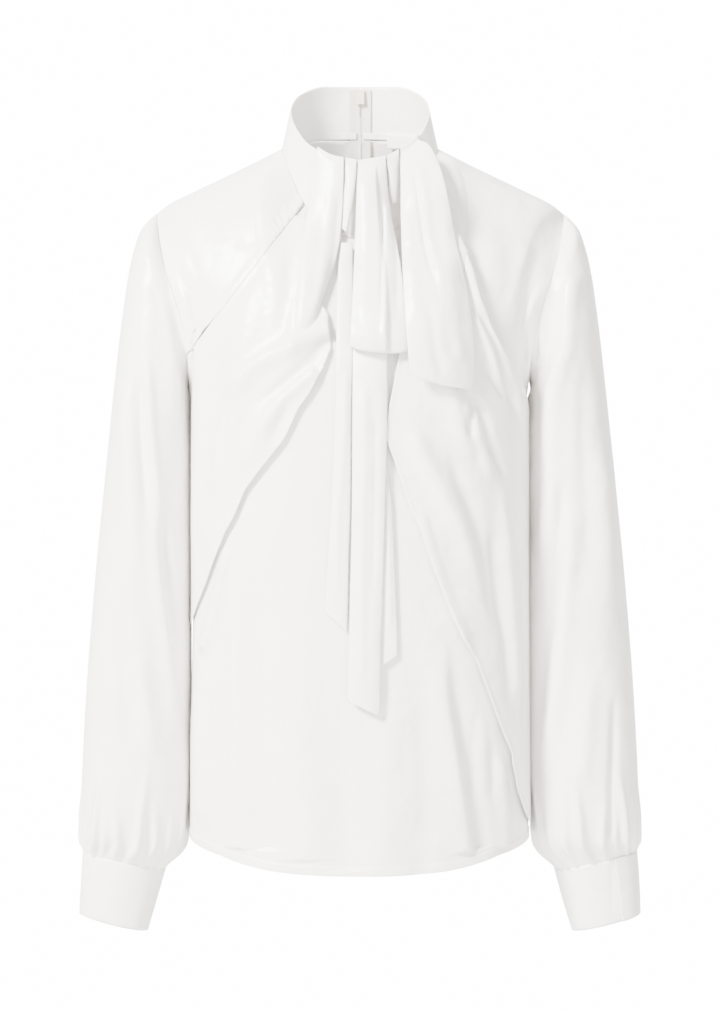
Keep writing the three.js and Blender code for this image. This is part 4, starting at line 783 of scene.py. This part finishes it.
tailCentreRows = [
    ((-5, -110), (22, -110), 7.5, 1),
    ((-6, -156), (24, -156), 8.5, 1.5),
    ((-6.6, -205), (25.6, -205), 8.5, 2),
    ((-6.8, -260), (25.4, -260), 9, 3),
    ((-7.2, -343), (23.6, -343), 8.5, 3),
    ((-9.2, -437), (20.8, -437), 8, 3),
    ((-10.6, -500), (19, -504), 8, 3),
    ((-11.2, -528), (18.7, -540), 8, 2.5),
    ((-10, -532), (17, -545.5), 8, 2),
]
tailRightRows = [
    ((10, -262), (20.5, -266), 9.1, 0),
    ((11, -290), (21.5, -292), 5, 0.8),
    ((13, -343), (29.3, -343), 4, 1),
    ((15, -437), (33.6, -437), 4, 1),
    ((17.5, -480), (35, -480), 4, 1),
    ((18.8, -501), (34.9, -489), 4, 1),
]
bandFolds = [
    ([(-27.4, -41.8), (-32.9, -96.6), (-38.4, -151.5), (-43.9, -188.1)], 5, 5, 1.6, 0.1, 0.2),
    ([(-20.1, -47.3), (-23.8, -96.6), (-31.1, -151.5)], 3, 3, -1.4, 0.15, 0.25),
]
loopFolds = [
    ([(24.7, -56.4), (24.7, -105.8), (23.8, -160.6), (20.1, -200.9)], 2.2, 5, 2.2, 0.1, 0.2),
    ([(21, -60.1), (21, -114.9), (20.1, -169.8)], 2.4, 2, -2.2, 0.12, 0.25),
    ([(5.5, -49.1), (3.7, -114.9), (1.8, -178.9)], 6, 6, 1.3, 0.15, 0.2),
    ([(32.9, -69.2), (34.7, -124.1), (34.7, -178.9)], 3, 3, -1.2, 0.2, 0.2),
]
endFolds = [
    ([(55.8, -23.5), (59.4, -51.8), (66.7, -100.3), (73.1, -124.1), (78.6, -160.6)],
     2.6, 6, 2.4, 0.06, 0.3),
    ([(52.1, -29), (55.8, -60.1), (62.2, -105.8), (69.5, -142.4)], 2.4, 2.2, -2.2, 0.1, 0.3),
    ([(43.9, -50.9), (47.5, -114.9), (53, -188.1)], 6, 6, 1.2, 0.2, 0.2),
    ([(82.3, -114.9), (89.6, -169.8), (95.1, -215.5)], 7, 5, 1.5, 0.2, 0.1),
    ([(64, -151.5), (69.5, -197.2), (76.8, -232)], 5, 5, -1.2, 0.2, 0.1),
]
tailLeftFolds = [([(-12.8, -215.5), (-15.5, -288.7), (-20.1, -361.8), (-21.9, -444.1)], 3, 3, 1.2, 0.1, 0.1)]
tailCentreFolds = [
    ([(5.5, -224.6), (3.7, -316.1), (1.8, -416.7), (1.8, -517.2)], 5, 4, 1.5, 0.1, 0.05),
    ([(14.6, -252.1), (13.7, -343.5), (11.9, -434.9)], 3, 3, -1.1, 0.15, 0.15),
]
tailRightFolds = [([(25.6, -325.2), (27.4, -398.4), (28.3, -471.5)], 3, 2.5, 0.9, 0.15, 0.1)]


# Bow loop: down the front, round the bottom and up behind.
def loopGrid():
    u = np.linspace(0, 1, 40)
    step = 5 * (1 - soft((u - 0.6) / 0.1))
    front = [row - np.stack([0 * u, step, 0 * u], axis=-1) for row in hangingRows(loopRows, u)]
    top = rollOver(-1.8, 24.6, u)
    last = front[-1]
    depth = 3 + step * 0.35
    turn = []
    for angle in (20, 40, 65, 90, 115, 140, 160):
        a = angle * degrees
        drop = 9 * math.sin(a) * (1 - 0.45 * np.abs(2 * u - 1) ** 4)
        low = last[:, 2] - 6 * soft(angle / 60) - drop
        turn.append(points(last[:, 0], last[:, 1] + depth * (1 - math.cos(a)), low))
    behind = []
    for r in range(5):
        p = front[len(front) - 1 - r]
        behind.append(points(p[:, 0], p[:, 1] + 2 * depth - r * 0.3, p[:, 2]))
    facing = creased(finer(top + front, 90), loopFolds)
    rest = finer(turn + behind, 60)
    return np.concatenate([facing, rest])


zipSize = {
    "top": 68,
    "bottom": -230,
    "pinZ": 62,
    "inward": 0.8,
    "coil": {"pitch": 1.3, "size": (1, 3.4, 1.1), "inward": 2.3},
}


# Depth of the inside of the centre back at a height.
def backDepth(z):
    seamZ = collarLine["base"][-1]
    part = (z - seamZ) / (collarLine["top"][-1] - seamZ)
    upper = mix(collarBase["back"], collarTop["back"], part)
    v = np.linspace(0, 1, 400)
    line = plainBody(np.full(400, 179.93), v)
    order = np.argsort(line[:, 2])
    lower = np.interp(z, line[order, 2], line[order, 1])
    return np.where(z >= seamZ, upper, lower) - zipSize["inward"]


# New node with values on its inputs.
def fresh(tree, kind, values=(), **settings):
    node = tree.nodes.new(kind)
    for name, value in settings.items():
        setattr(node, name, value)
    setInputs(node, dict(values))
    return node


def setInputs(node, values):
    for name, value in values.items():
        node.inputs[name].default_value = value


# Each link is a row: a node and its output, then a node and its input.
def wire(tree, rows):
    for start, output, end, target in rows:
        tree.links.new(start.outputs[output], end.inputs[target])


def sockets(tree, rows):
    for name, way, kind, value in rows:
        socket = tree.interface.new_socket(name=name, in_out=way, socket_type="NodeSocket" + kind)
        if value is not None:
            socket.default_value = value


# Satin crepe: a fine grain and soft broad waves in the bump, with painted shade in the colour, which darkens
# slightly in the low parts of the broad waves.
def crepeGroup():
    group = bpy.data.node_groups.new("crepe", "ShaderNodeTree")
    sockets(group, [
        ("Scale", "INPUT", "Float", 1),
        ("Strength", "INPUT", "Float", 0.1),
        ("Base", "INPUT", "Color", (0.8, 0.8, 0.8, 1)),
        ("Colour", "OUTPUT", "Color", None),
        ("Normal", "OUTPUT", "Vector", None),
    ])
    start = fresh(group, "NodeGroupInput")
    end = fresh(group, "NodeGroupOutput")
    where = fresh(group, "ShaderNodeTexCoord")
    spread = fresh(group, "ShaderNodeVectorMath", operation="SCALE")
    grain = fresh(group, "ShaderNodeTexNoise", {"Scale": 900, "Detail": 2})
    soften = fresh(group, "ShaderNodeTexNoise", {"Scale": 17, "Detail": 3})
    total = fresh(group, "ShaderNodeMath", {1: 0.014}, operation="MULTIPLY_ADD")
    bump = fresh(group, "ShaderNodeBump", {"Distance": 0.008})
    # Painted shade: the base colour is darkened by up to 3.5% where the broad waves sink, driven by the same
    # noise as the bump.
    waveShadeRange = {"From Min": 0.3, "From Max": 0.7, "To Min": 0.965, "To Max": 1}
    waveShade = fresh(group, "ShaderNodeMapRange", waveShadeRange)
    shadedBase = fresh(group, "ShaderNodeVectorMath", operation="SCALE")
    wire(group, [
        (where, "Object", spread, 0),
        (start, "Scale", spread, "Scale"),
        (spread, "Vector", grain, "Vector"),
        (spread, "Vector", soften, "Vector"),
        (grain, "Fac", total, 0),
        (soften, "Fac", total, 2),
        (total, "Value", bump, "Height"),
        (start, "Strength", bump, "Strength"),
        (soften, "Fac", waveShade, "Value"),
        (start, "Base", shadedBase, 0),
        (waveShade, "Result", shadedBase, "Scale"),
        (shadedBase, "Vector", end, "Colour"),
        (bump, "Normal", end, "Normal"),
    ])
    return group


crepe = crepeGroup()


def plainMaterial(name, colour, roughness, metallic=0.0):
    material = bpy.data.materials.new(name)
    material.use_nodes = True
    shader = material.node_tree.nodes["Principled BSDF"]
    setInputs(shader, {"Base Color": (*colour, 1), "Roughness": roughness, "Metallic": metallic})
    material.diffuse_color = (*colour, 1)
    return material


def clothMaterial(name, colour, roughness, strength, sheen, scale=1.0):
    material = plainMaterial(name, colour, roughness)
    tree = material.node_tree
    shader = tree.nodes["Principled BSDF"]
    group = fresh(tree, "ShaderNodeGroup", node_tree=crepe)
    setInputs(group, {"Scale": scale, "Strength": strength, "Base": (*colour, 1)})
    wire(tree, [(group, "Colour", shader, "Base Color"), (group, "Normal", shader, "Normal")])
    setInputs(shader, {"Sheen Weight": sheen, "Sheen Roughness": 0.4, "Specular IOR Level": 0.5})
    return material


looks = {
    "satin": clothMaterial("satin", (0.885, 0.86, 0.822), 0.35, 0.8, 0.1),
    "thread": plainMaterial("thread", (0.86, 0.845, 0.815), 0.6),
    "label": clothMaterial("label", (0.9, 0.89, 0.875), 0.75, 0.3, 0.1, 1.6),
    "tape": clothMaterial("zipTape", (0.7, 0.66, 0.59), 0.8, 0.5, 0.1, 1.3),
    "coil": plainMaterial("zipCoil", (0.62, 0.56, 0.48), 0.45),
    "enamel": plainMaterial("zipEnamel", (0.78, 0.68, 0.55), 0.35, 0.1),
}


# Grid of a surface's two parameters, cut along the zero line of a level.
def clipGrid(us, vs, level):
    nu = len(us)
    flat = level.ravel()
    params = []
    known = {}

    def corner(k):
        if k not in known:
            known[k] = len(params)
            params.append((us[k % nu], vs[k // nu]))
        return known[k]

    def cut(a, b):
        key = (min(a, b), max(a, b))
        if key not in known:
            known[key] = len(params)
            a, b = key
            t = flat[a] / (flat[a] - flat[b])
            params.append((mix(us[a % nu], us[b % nu], t), mix(vs[a // nu], vs[b // nu], t)))
        return known[key]

    faces = []
    for r in range(len(vs) - 1):
        for c in range(nu - 1):
            k = r * nu + c
            ring = (k, k + nu, k + nu + 1, k + 1)
            inside = [flat[i] > 0 for i in ring]
            if not any(inside):
                continue
            face = []
            for i in range(4):
                a = ring[i]
                b = ring[(i + 1) % 4]
                if inside[i]:
                    face.append(corner(a))
                if inside[i] != inside[(i + 1) % 4]:
                    face.append(cut(a, b))
            if len(face) >= 3:
                faces.append(tuple(face))
    return np.array(params), faces


def gridFaces(rows, columns, closed=False):
    faces = []
    count = columns if closed else columns - 1
    for r in range(rows - 1):
        for c in range(count):
            d = (c + 1) % columns
            faces.append((r * columns + c, (r + 1) * columns + c, (r + 1) * columns + d, r * columns + d))
    return faces


def meshObject(name, verts, faces, material):
    mesh = bpy.data.meshes.new(name)
    mesh.from_pydata([tuple(v) for v in np.asarray(verts, float) * toMetres], [], faces)
    mesh.validate()
    mesh.materials.append(material)
    thing = bpy.data.objects.new(name, mesh)
    bpy.context.scene.collection.objects.link(thing)
    return thing


# Modifiers are made into plain geometry.
def settle(thing):
    bpy.context.view_layer.update()
    made = bpy.data.meshes.new_from_object(thing.evaluated_get(bpy.context.evaluated_depsgraph_get()))
    thing.modifiers.clear()
    old = thing.data
    thing.data = made
    bpy.data.meshes.remove(old)
    made.polygons.foreach_set("use_smooth", [True] * len(made.polygons))
    made.update()


def cloth(name, verts, faces, material="satin", thick=0.9, turn=False):
    if turn:
        faces = [tuple(reversed(f)) for f in faces]
    thing = meshObject(name, verts, faces, looks[material])
    shell = thing.modifiers.new("wall", "SOLIDIFY")
    shell.thickness = thick * toMetres
    shell.offset = 0
    shell.use_even_offset = False
    settle(thing)
    return thing


def declare(thing, piece):
    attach(thing, "garment")
    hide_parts(piece["node"])
    flat = piece["flat"]
    area = piece.get("area")
    measured = sum(p.area for p in thing.data.polygons) / 2
    wanted = area if area else flat[0] * flat[1]
    print(f"sheet {thing.name} measured {measured:.5f} of {wanted:.5f} share {measured / wanted:.2f}")


coarser = 0.94


def spread(start, end, count):
    return np.linspace(start, end, max(8, int(count * coarser)))


# Piece of the body wall: a surface over columns and rows, cut along the zero line of a level.
def bodyPiece(name, piece, surface, level):
    rows = spread(*piece["rows"])
    if "hemRows" in piece:
        rows = np.concatenate([rows, np.linspace(*piece["hemRows"])])
    columns = spread(*piece["columns"])
    column, part = np.meshgrid(columns, rows)
    p = plainBody(column, part)
    params, faces = clipGrid(columns, rows, level(column, p))
    declare(cloth(name, surface(params[:, 0], params[:, 1]), faces), {"held": "draped", **piece})


# Region above a slanted seam, as an outline that runs out past the wall.
def aboveSeam(line, side, gap):
    moved = [(x + side * gap * 0.8, z + gap * 0.6) for x, z in line]
    return [(moved[0][0], 60)] + moved + [(side * 260, moved[-1][1]), (side * 260, 60)]


halfGap = 0.15


def panelLevel(column, p):
    left = -insideOf(aboveSeam(yokeSeamLeft, -1, -halfGap), p[..., 0], p[..., 2])
    right = -insideOf(aboveSeam(yokeSeamRight, 1, -halfGap), p[..., 0], p[..., 2])
    return np.minimum(left, right)


def within(outline):
    return lambda column, p: insideOf(outline, p[..., 0], p[..., 2])


def whole(column, p):
    return np.ones(np.shape(column))


frontPanel = {
    "node": "front_panel",
    "columns": (-89.9, 89.9, 190),
    "rows": (0.0008, 1.95, 200),
    "hemRows": (1.955, 2, 16),
    "flat": (0.44, 0.656),
    "area": 0.246,
    "restsOn": ["yokeLeft", "yokeRight"],
}
yokeLeft = {
    "node": "yoke_left",
    "columns": (-89.9, -4, 110),
    "rows": (0.0008, 1.05, 120),
    "flat": (0.152, 0.21),
    "area": 0.0215,
    "restsOn": ["backLeft"],
}
yokeRight = {
    "node": "yoke_right",
    "columns": (4, 89.9, 110),
    "rows": (0.0008, 1.15, 130),
    "flat": (0.15, 0.275),
    "area": 0.0275,
    "restsOn": ["backRight"],
}
back = {"rows": (0.0008, 1.95, 190), "hemRows": (1.955, 2, 16), "flat": (0.25, 0.72), "area": 0.145}
backLeft = {**back, "node": "back_left", "columns": (-179.93, -90.1, 110), "restsOn": ["yokeLeft"]}
backRight = {**back, "node": "back_right", "columns": (90.1, 179.93, 110), "restsOn": ["yokeRight"]}
drapeLeft = {
    "node": "drape_left",
    "columns": (-89.7, -6, 130),
    "rows": (0.05, 1.52, 190),
    "flat": (0.17, 0.375),
    "area": 0.0435,
    "restsOn": ["frontPanel"],
}
drapeRight = {
    "node": "drape_right",
    "columns": (6, 89.7, 140),
    "rows": (0.05, 1.999, 260),
    "flat": (0.19, 0.62),
    "area": 0.077,
    "restsOn": ["frontPanel"],
}
bodyPiece("frontPanel", frontPanel, panelPoint, panelLevel)
bodyPiece("yokeLeft", yokeLeft, yokePoint(-1), within(aboveSeam(yokeSeamLeft, -1, halfGap)))
bodyPiece("yokeRight", yokeRight, yokePoint(1), within(aboveSeam(yokeSeamRight, 1, halfGap)))
print("stage: front and shoulders made")
bodyPiece("backLeft", backLeft, backPoint, whole)
bodyPiece("backRight", backRight, backPoint, whole)
print("stage: back made")
bodyPiece("drapeLeft", drapeLeft, drapePoint(-1), within(drapeLeftOutline))
bodyPiece("drapeRight", drapeRight, drapePoint(1), within(drapeRightOutline))
print("stage: over-panels made")


# Piece made from a grid of points, closed round where its last column meets its first.
def gridPiece(name, grid, piece, turn=False, closed=False):
    rows, columns = grid.shape[:2]
    faces = gridFaces(rows, columns, closed)
    look = piece.get("look", "satin")
    declare(cloth(name, grid.reshape(-1, 3), faces, look, piece.get("thick", 0.9), turn), piece)


sleeve = {
    "columns": 192,
    "rows": ((0.02, 7.4, 96), (7.45, 10.98, 92)),
    "flat": (0.38, 0.64),
    "area": 0.197,
    "held": "gathered",
}
cuffCloth = {"columns": (0, 376, 170), "rows": (0, 1, 24), "flat": (0.238, 0.064), "held": "folded"}
for side, word in ((-1, "Left"), (1, "Right")):
    low = word.lower()
    upper, lower = [np.linspace(*rows) for rows in sleeve["rows"]]
    lastRow = len(sleeveRings["outerX"]) - 1
    angles = np.linspace(0, 360, sleeve["columns"] + 1)[:-1]
    angle, row = np.meshgrid(angles, np.concatenate([upper, lower, [lastRow]]))
    own = {"node": "sleeve_" + low, "restsOn": ["yoke" + word, "back" + word]}
    gridPiece("sleeve" + word, sleeveSurface(side, row, angle), {**sleeve, **own}, side > 0, True)
    turned, part = np.meshgrid(np.linspace(*cuffCloth["columns"]), np.linspace(*cuffCloth["rows"]))
    own = {"node": "cuff_" + low, "restsOn": ["sleeve" + word], "thick": cuff["thick"]}
    gridPiece("cuff" + word, cuffPoint(side, turned, part), {**cuffCloth, **own}, side < 0)
print("stage: sleeves and cuffs made")

neckCollar = {
    "node": "collar",
    "columns": (-179.8, 179.8, 260),
    "rows": (0.004, 1, 26),
    "step": [(-47.8, -9.5), (-60, -31.1), (-62.8, -42.3), (-71.3, -35.8)],
    "flat": (0.445, 0.082),
    "area": 0.0232,
    "held": "folded",
    "restsOn": ["frontPanel", "backLeft", "backRight"],
    "thick": 1.5,
}
angle, part = np.meshgrid(np.linspace(*neckCollar["columns"]), np.linspace(*neckCollar["rows"]))
collarGrid = collarPoint(angle, part)
lift = foldHeight([(neckCollar["step"], 3, 4, -0.8, 0.1, 0.2)], collarGrid[..., 0], collarGrid[..., 2])
lift = lift * (collarGrid[..., 1] < 0)
outward = unit(np.stack([collarGrid[..., 0], collarGrid[..., 1], 0 * lift], axis=-1))
gridPiece("neckCollar", collarGrid + outward * lift[..., None], neckCollar)
inside = {"grid": (60, 8), "held": "hung", "restsOn": ["neckCollar"], "thick": 0.7}
neckTape = {**inside, "rows": (0.03, 0.15), "inward": 1.75, "flat": (0.112, 0.0105), "area": 0.0007}
neckLabel = {**inside, "rows": (-0.14, 0.13), "inward": 3.1, "flat": (0.031, 0.0165), "look": "label"}
for name, piece in (
    ("neckTapeLeft", {**neckTape, "node": "neck_tape_left", "columns": (-177.5, -84)}),
    ("neckTapeRight", {**neckTape, "node": "neck_tape_right", "columns": (84, 177.5)}),
    ("neckLabel", {**neckLabel, "node": "neck_label", "columns": (130, 158), "slot": "label"}),
):
    across, along = piece["grid"]
    angle, part = np.meshgrid(np.linspace(*piece["columns"], across), np.linspace(*piece["rows"], along))
    gridPiece(name, insidePoint(angle, part, piece["inward"]), piece)
print("stage: collar made")

tieBandLeft = {
    "node": "tie_band_left",
    "strip": (bandLeftRows, 34, 110, (-41, -15.6), bandFolds),
    "flat": (0.034, 0.19),
    "held": "draped",
    "thick": 1.2,
}
tieFoldLeft = {
    "node": "tie_fold_left",
    "strip": (foldLeftRows, 16, 60, (-13.8, -3.6)),
    "flat": (0.011, 0.085),
    "held": "folded",
    "thick": 1.2,
}
tieLoop = {"node": "tie_loop", "flat": (0.046, 0.365), "held": "folded"}
tieFoldRight = {
    "node": "tie_fold_right",
    "strip": (foldRightRows, 16, 50, (26.4, 37.4)),
    "flat": (0.011, 0.066),
    "held": "folded",
    "thick": 1.2,
}
tieEndRight = {
    "node": "tie_end_right",
    "strip": (endRightRows, 60, 130, (39.2, 56), endFolds),
    "flat": (0.062, 0.26),
    "area": 0.0147,
    "held": "draped",
}
tailLeft = {
    "node": "tail_left",
    "strip": (tailLeftRows, 22, 130, None, tailLeftFolds),
    "flat": (0.0185, 0.365),
    "restsOn": ["tieLoop"],
}
tailCentre = {
    "node": "tail_centre",
    "strip": (tailCentreRows, 30, 150, None, tailCentreFolds),
    "flat": (0.033, 0.44),
    "restsOn": ["tieLoop"],
}
tailRight = {
    "node": "tail_right",
    "strip": (tailRightRows, 20, 90, None, tailRightFolds),
    "flat": (0.019, 0.235),
    "restsOn": ["tailCentre"],
}
for name, piece in (
    ("tieBandLeft", tieBandLeft), ("tieFoldLeft", tieFoldLeft), ("tieLoop", tieLoop),
    ("tieFoldRight", tieFoldRight), ("tieEndRight", tieEndRight),
    ("tailLeft", tailLeft), ("tailCentre", tailCentre), ("tailRight", tailRight),
):
    grid = strip(*piece["strip"]) if "strip" in piece else loopGrid()
    gridPiece(name, grid, {"held": "hung", "restsOn": ["neckCollar"], "thick": 1.1, **piece})
print("stage: ties made")

zipTape = {
    "columns": (0.4, 11, 10),
    "rows": 120,
    "flat": (0.0107, 0.301),
    "held": "stretched",
    "thick": 0.6,
    "slot": "zip_tape",
    "look": "tape",
}
for side, word in ((-1, "Left"), (1, "Right")):
    heights = np.linspace(zipSize["top"], zipSize["bottom"], zipTape["rows"])
    x, z = np.meshgrid(np.linspace(*zipTape["columns"]), heights)
    y = backDepth(z) - mix(1.95, 1.6, soft((x - zipTape["columns"][0]) / 2)) - x * x / 150
    own = {"node": "zip_tape_" + word.lower(), "restsOn": ["back" + word]}
    gridPiece("zipTape" + word, points(side * x, y, z), {**zipTape, **own}, side > 0)


# One node tree lays a small rounded piece again and again along a line.
def repeatTree():
    tree = bpy.data.node_groups.new("repeatAlong", "GeometryNodeTree")
    sockets(tree, [
        ("Geometry", "INPUT", "Geometry", None),
        ("Pitch", "INPUT", "Float", None),
        ("Size", "INPUT", "Vector", None),
        ("Material", "INPUT", "Material", None),
        ("Geometry", "OUTPUT", "Geometry", None),
    ])
    start = fresh(tree, "NodeGroupInput")
    end = fresh(tree, "NodeGroupOutput")
    line = fresh(tree, "GeometryNodeMeshToCurve")
    spaced = fresh(tree, "GeometryNodeResampleCurve", mode="LENGTH")
    tangent = fresh(tree, "GeometryNodeInputTangent")
    turn = fresh(tree, "FunctionNodeAlignRotationToVector", axis="X")
    bead = fresh(tree, "GeometryNodeMeshIcoSphere", {"Radius": 0.5, "Subdivisions": 1})
    place = fresh(tree, "GeometryNodeInstanceOnPoints")
    real = fresh(tree, "GeometryNodeRealizeInstances")
    paint = fresh(tree, "GeometryNodeSetMaterial")
    wire(tree, [
        (start, "Geometry", line, "Mesh"),
        (line, "Curve", spaced, "Curve"),
        (start, "Pitch", spaced, "Length"),
        (spaced, "Curve", place, "Points"),
        (tangent, "Tangent", turn, "Vector"),
        (turn, "Rotation", place, "Rotation"),
        (bead, "Mesh", place, "Instance"),
        (start, "Size", place, "Scale"),
        (place, "Instances", real, "Geometry"),
        (real, "Geometry", paint, "Geometry"),
        (start, "Material", paint, "Material"),
        (paint, "Geometry", end, "Geometry"),
    ])
    return tree


repeatAlong = repeatTree()


def repeated(name, lines, pitch, size, material):
    verts = np.concatenate(lines) * toMetres
    edges = []
    first = 0
    for line in lines:
        edges += [(first + i, first + i + 1) for i in range(len(line) - 1)]
        first += len(line)
    mesh = bpy.data.meshes.new(name)
    mesh.from_pydata([tuple(v) for v in verts], edges, [])
    thing = bpy.data.objects.new(name, mesh)
    bpy.context.scene.collection.objects.link(thing)
    layer = thing.modifiers.new("repeat", "NODES")
    layer.node_group = repeatAlong
    bead = tuple(v * toMetres for v in size)
    values = {"Pitch": pitch * toMetres, "Size": bead, "Material": looks[material]}
    for item in repeatAlong.interface.items_tree:
        if item.in_out == "INPUT" and item.name in values:
            layer[item.identifier] = values[item.name]
    settle(thing)
    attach(thing, "garment")
    return thing


# Stitches stand half out of the cloth that they run along.
stitch = {"pitch": 2.7, "size": (1.9, 0.42, 0.3), "out": 0.55, "hemPart": 1.9805, "cuffParts": (0.06, 0.94)}
frontColumns = np.linspace(-89, 89, 300)
backColumns = np.linspace(91, 179.6, 160)


def offBody(surface, columns, part, out):
    column = np.asarray(columns, float)
    v = np.full(column.shape, part)
    return surface(column, v) + bodyNormal(column, v) * out


repeated("hemStitches", [
    offBody(panelPoint, frontColumns, stitch["hemPart"], stitch["out"]),
    offBody(backPoint, backColumns, stitch["hemPart"], stitch["out"]),
    offBody(backPoint, -backColumns[::-1], stitch["hemPart"], stitch["out"]),
], stitch["pitch"], stitch["size"], "thread")
cuffLines = []
for side in (-1, 1):
    for part in stitch["cuffParts"]:
        turned = np.linspace(4, 374, 160)
        line = cuffPoint(side, turned, np.full(160, part))
        centre = np.array([side * 237, cuff["middleY"], 0])
        away = (line - centre) * np.array([1, 1, 0])
        cuffLines.append(line + unit(away) * 0.8)
repeated("cuffStitches", cuffLines, stitch["pitch"], stitch["size"], "thread")
neckLines = []
for start, end in ((-176, -86), (86, 176)):
    a = np.linspace(start, end, 80)
    neckLines.append(insidePoint(a, np.full(80, 0.128), 2.2))
repeated("neckStitches", neckLines, stitch["pitch"], stitch["size"], "thread")
coilZ = np.linspace(zipSize["pinZ"] - 8, zipSize["bottom"] + 4, 200)
coil = zipSize["coil"]
coilLine = points(0 * coilZ, backDepth(coilZ) - coil["inward"], coilZ)
repeated("zipCoil", [coilLine], coil["pitch"], coil["size"], "coil")
print("stage: stitches and coil made")

for node in ("zip_slider", "zip_pull"):
    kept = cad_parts[node]
    for place in kept.material_slots:
        place.link = "OBJECT"
        place.material = looks["enamel"]


studio = {
    "world": 0.1,
    "floorZ": -1.05,
    "key": {"place": (-2.6, -2.9, 2.3), "size": 1.3, "power": 1460},
    "fill": {"place": (1.6, -3.6, 0.2), "size": 3.0, "power": 170},
    "high": {"place": (0.3, 0.6, 2.6), "size": 2.6, "power": 120},
    "aim": (0, 0, -0.35),
    "room": {"half": 9000, "back": 2600, "floorBack": 6000, "height": 7000},
    "camera": {"place": (0, -2.8, -0.349), "lens": 101.6, "sensor": 36},
}


# White for the camera, a pale dull surface for the light, and clear when it is seen from outside.
def backdropMaterial():
    material = bpy.data.materials.new("backdrop")
    material.use_nodes = True
    tree = material.node_tree
    tree.nodes.clear()
    end = fresh(tree, "ShaderNodeOutputMaterial")
    blend = fresh(tree, "ShaderNodeMixShader")
    seen = fresh(tree, "ShaderNodeLightPath")
    white = fresh(tree, "ShaderNodeEmission", {"Color": (1, 1, 1, 1), "Strength": 16})
    dull = fresh(tree, "ShaderNodeBsdfDiffuse", {"Color": (0.8, 0.8, 0.8, 1)})
    behind = fresh(tree, "ShaderNodeNewGeometry")
    clear = fresh(tree, "ShaderNodeBsdfTransparent")
    oneSided = fresh(tree, "ShaderNodeMixShader")
    wire(tree, [
        (seen, "Is Camera Ray", blend, "Fac"),
        (dull, "BSDF", blend, 1),
        (white, "Emission", blend, 2),
        (behind, "Backfacing", oneSided, "Fac"),
        (blend, "Shader", oneSided, 1),
        (clear, "BSDF", oneSided, 2),
        (oneSided, "Shader", end, "Surface"),
    ])
    return material


white = backdropMaterial()
floorZ = studio["floorZ"] * 1000
room = studio["room"]
half = room["half"]
floorCorners = [(-half, -half), (half, -half), (half, room["floorBack"]), (-half, room["floorBack"])]
floor = meshObject("floor", [(x, y, floorZ) for x, y in floorCorners], [(0, 1, 2, 3)], white)
corners = [(-half, room["back"]), (half, room["back"]), (half, -half), (-half, -half)]
ring = [(x, y, z) for z in (floorZ, room["height"]) for x, y in corners]
sides = [(k, (k + 1) % 4, (k + 1) % 4 + 4, k + 4) for k in range(4)]
wall = meshObject("backdrop", ring, sides, white)

world = bpy.data.worlds.new("studio")
world.use_nodes = True
sky = {"Color": (1, 0.995, 0.985, 1), "Strength": studio["world"]}
setInputs(world.node_tree.nodes["Background"], sky)
bpy.context.scene.world = world

middle = Vector(studio["aim"])
for name in ("key", "fill", "high"):
    row = studio[name]
    lamp = bpy.data.lights.new(name, "AREA")
    lamp.shape = "DISK"
    lamp.size = row["size"]
    lamp.energy = row["power"]
    lamp.color = (1, 0.985, 0.96) if name == "key" else (1, 1, 1)
    light = bpy.data.objects.new(name, lamp)
    bpy.context.scene.collection.objects.link(light)
    light.location = row["place"]
    light.rotation_euler = (middle - Vector(row["place"])).to_track_quat("-Z", "Y").to_euler()

lens = bpy.data.cameras.new("camera")
lens.lens = studio["camera"]["lens"]
lens.sensor_width = studio["camera"]["sensor"]
camera = bpy.data.objects.new("camera", lens)
bpy.context.scene.collection.objects.link(camera)
camera.location = studio["camera"]["place"]
camera.rotation_euler = (math.pi / 2, 0, 0)
bpy.context.scene.camera = camera
print("stage: studio ready")
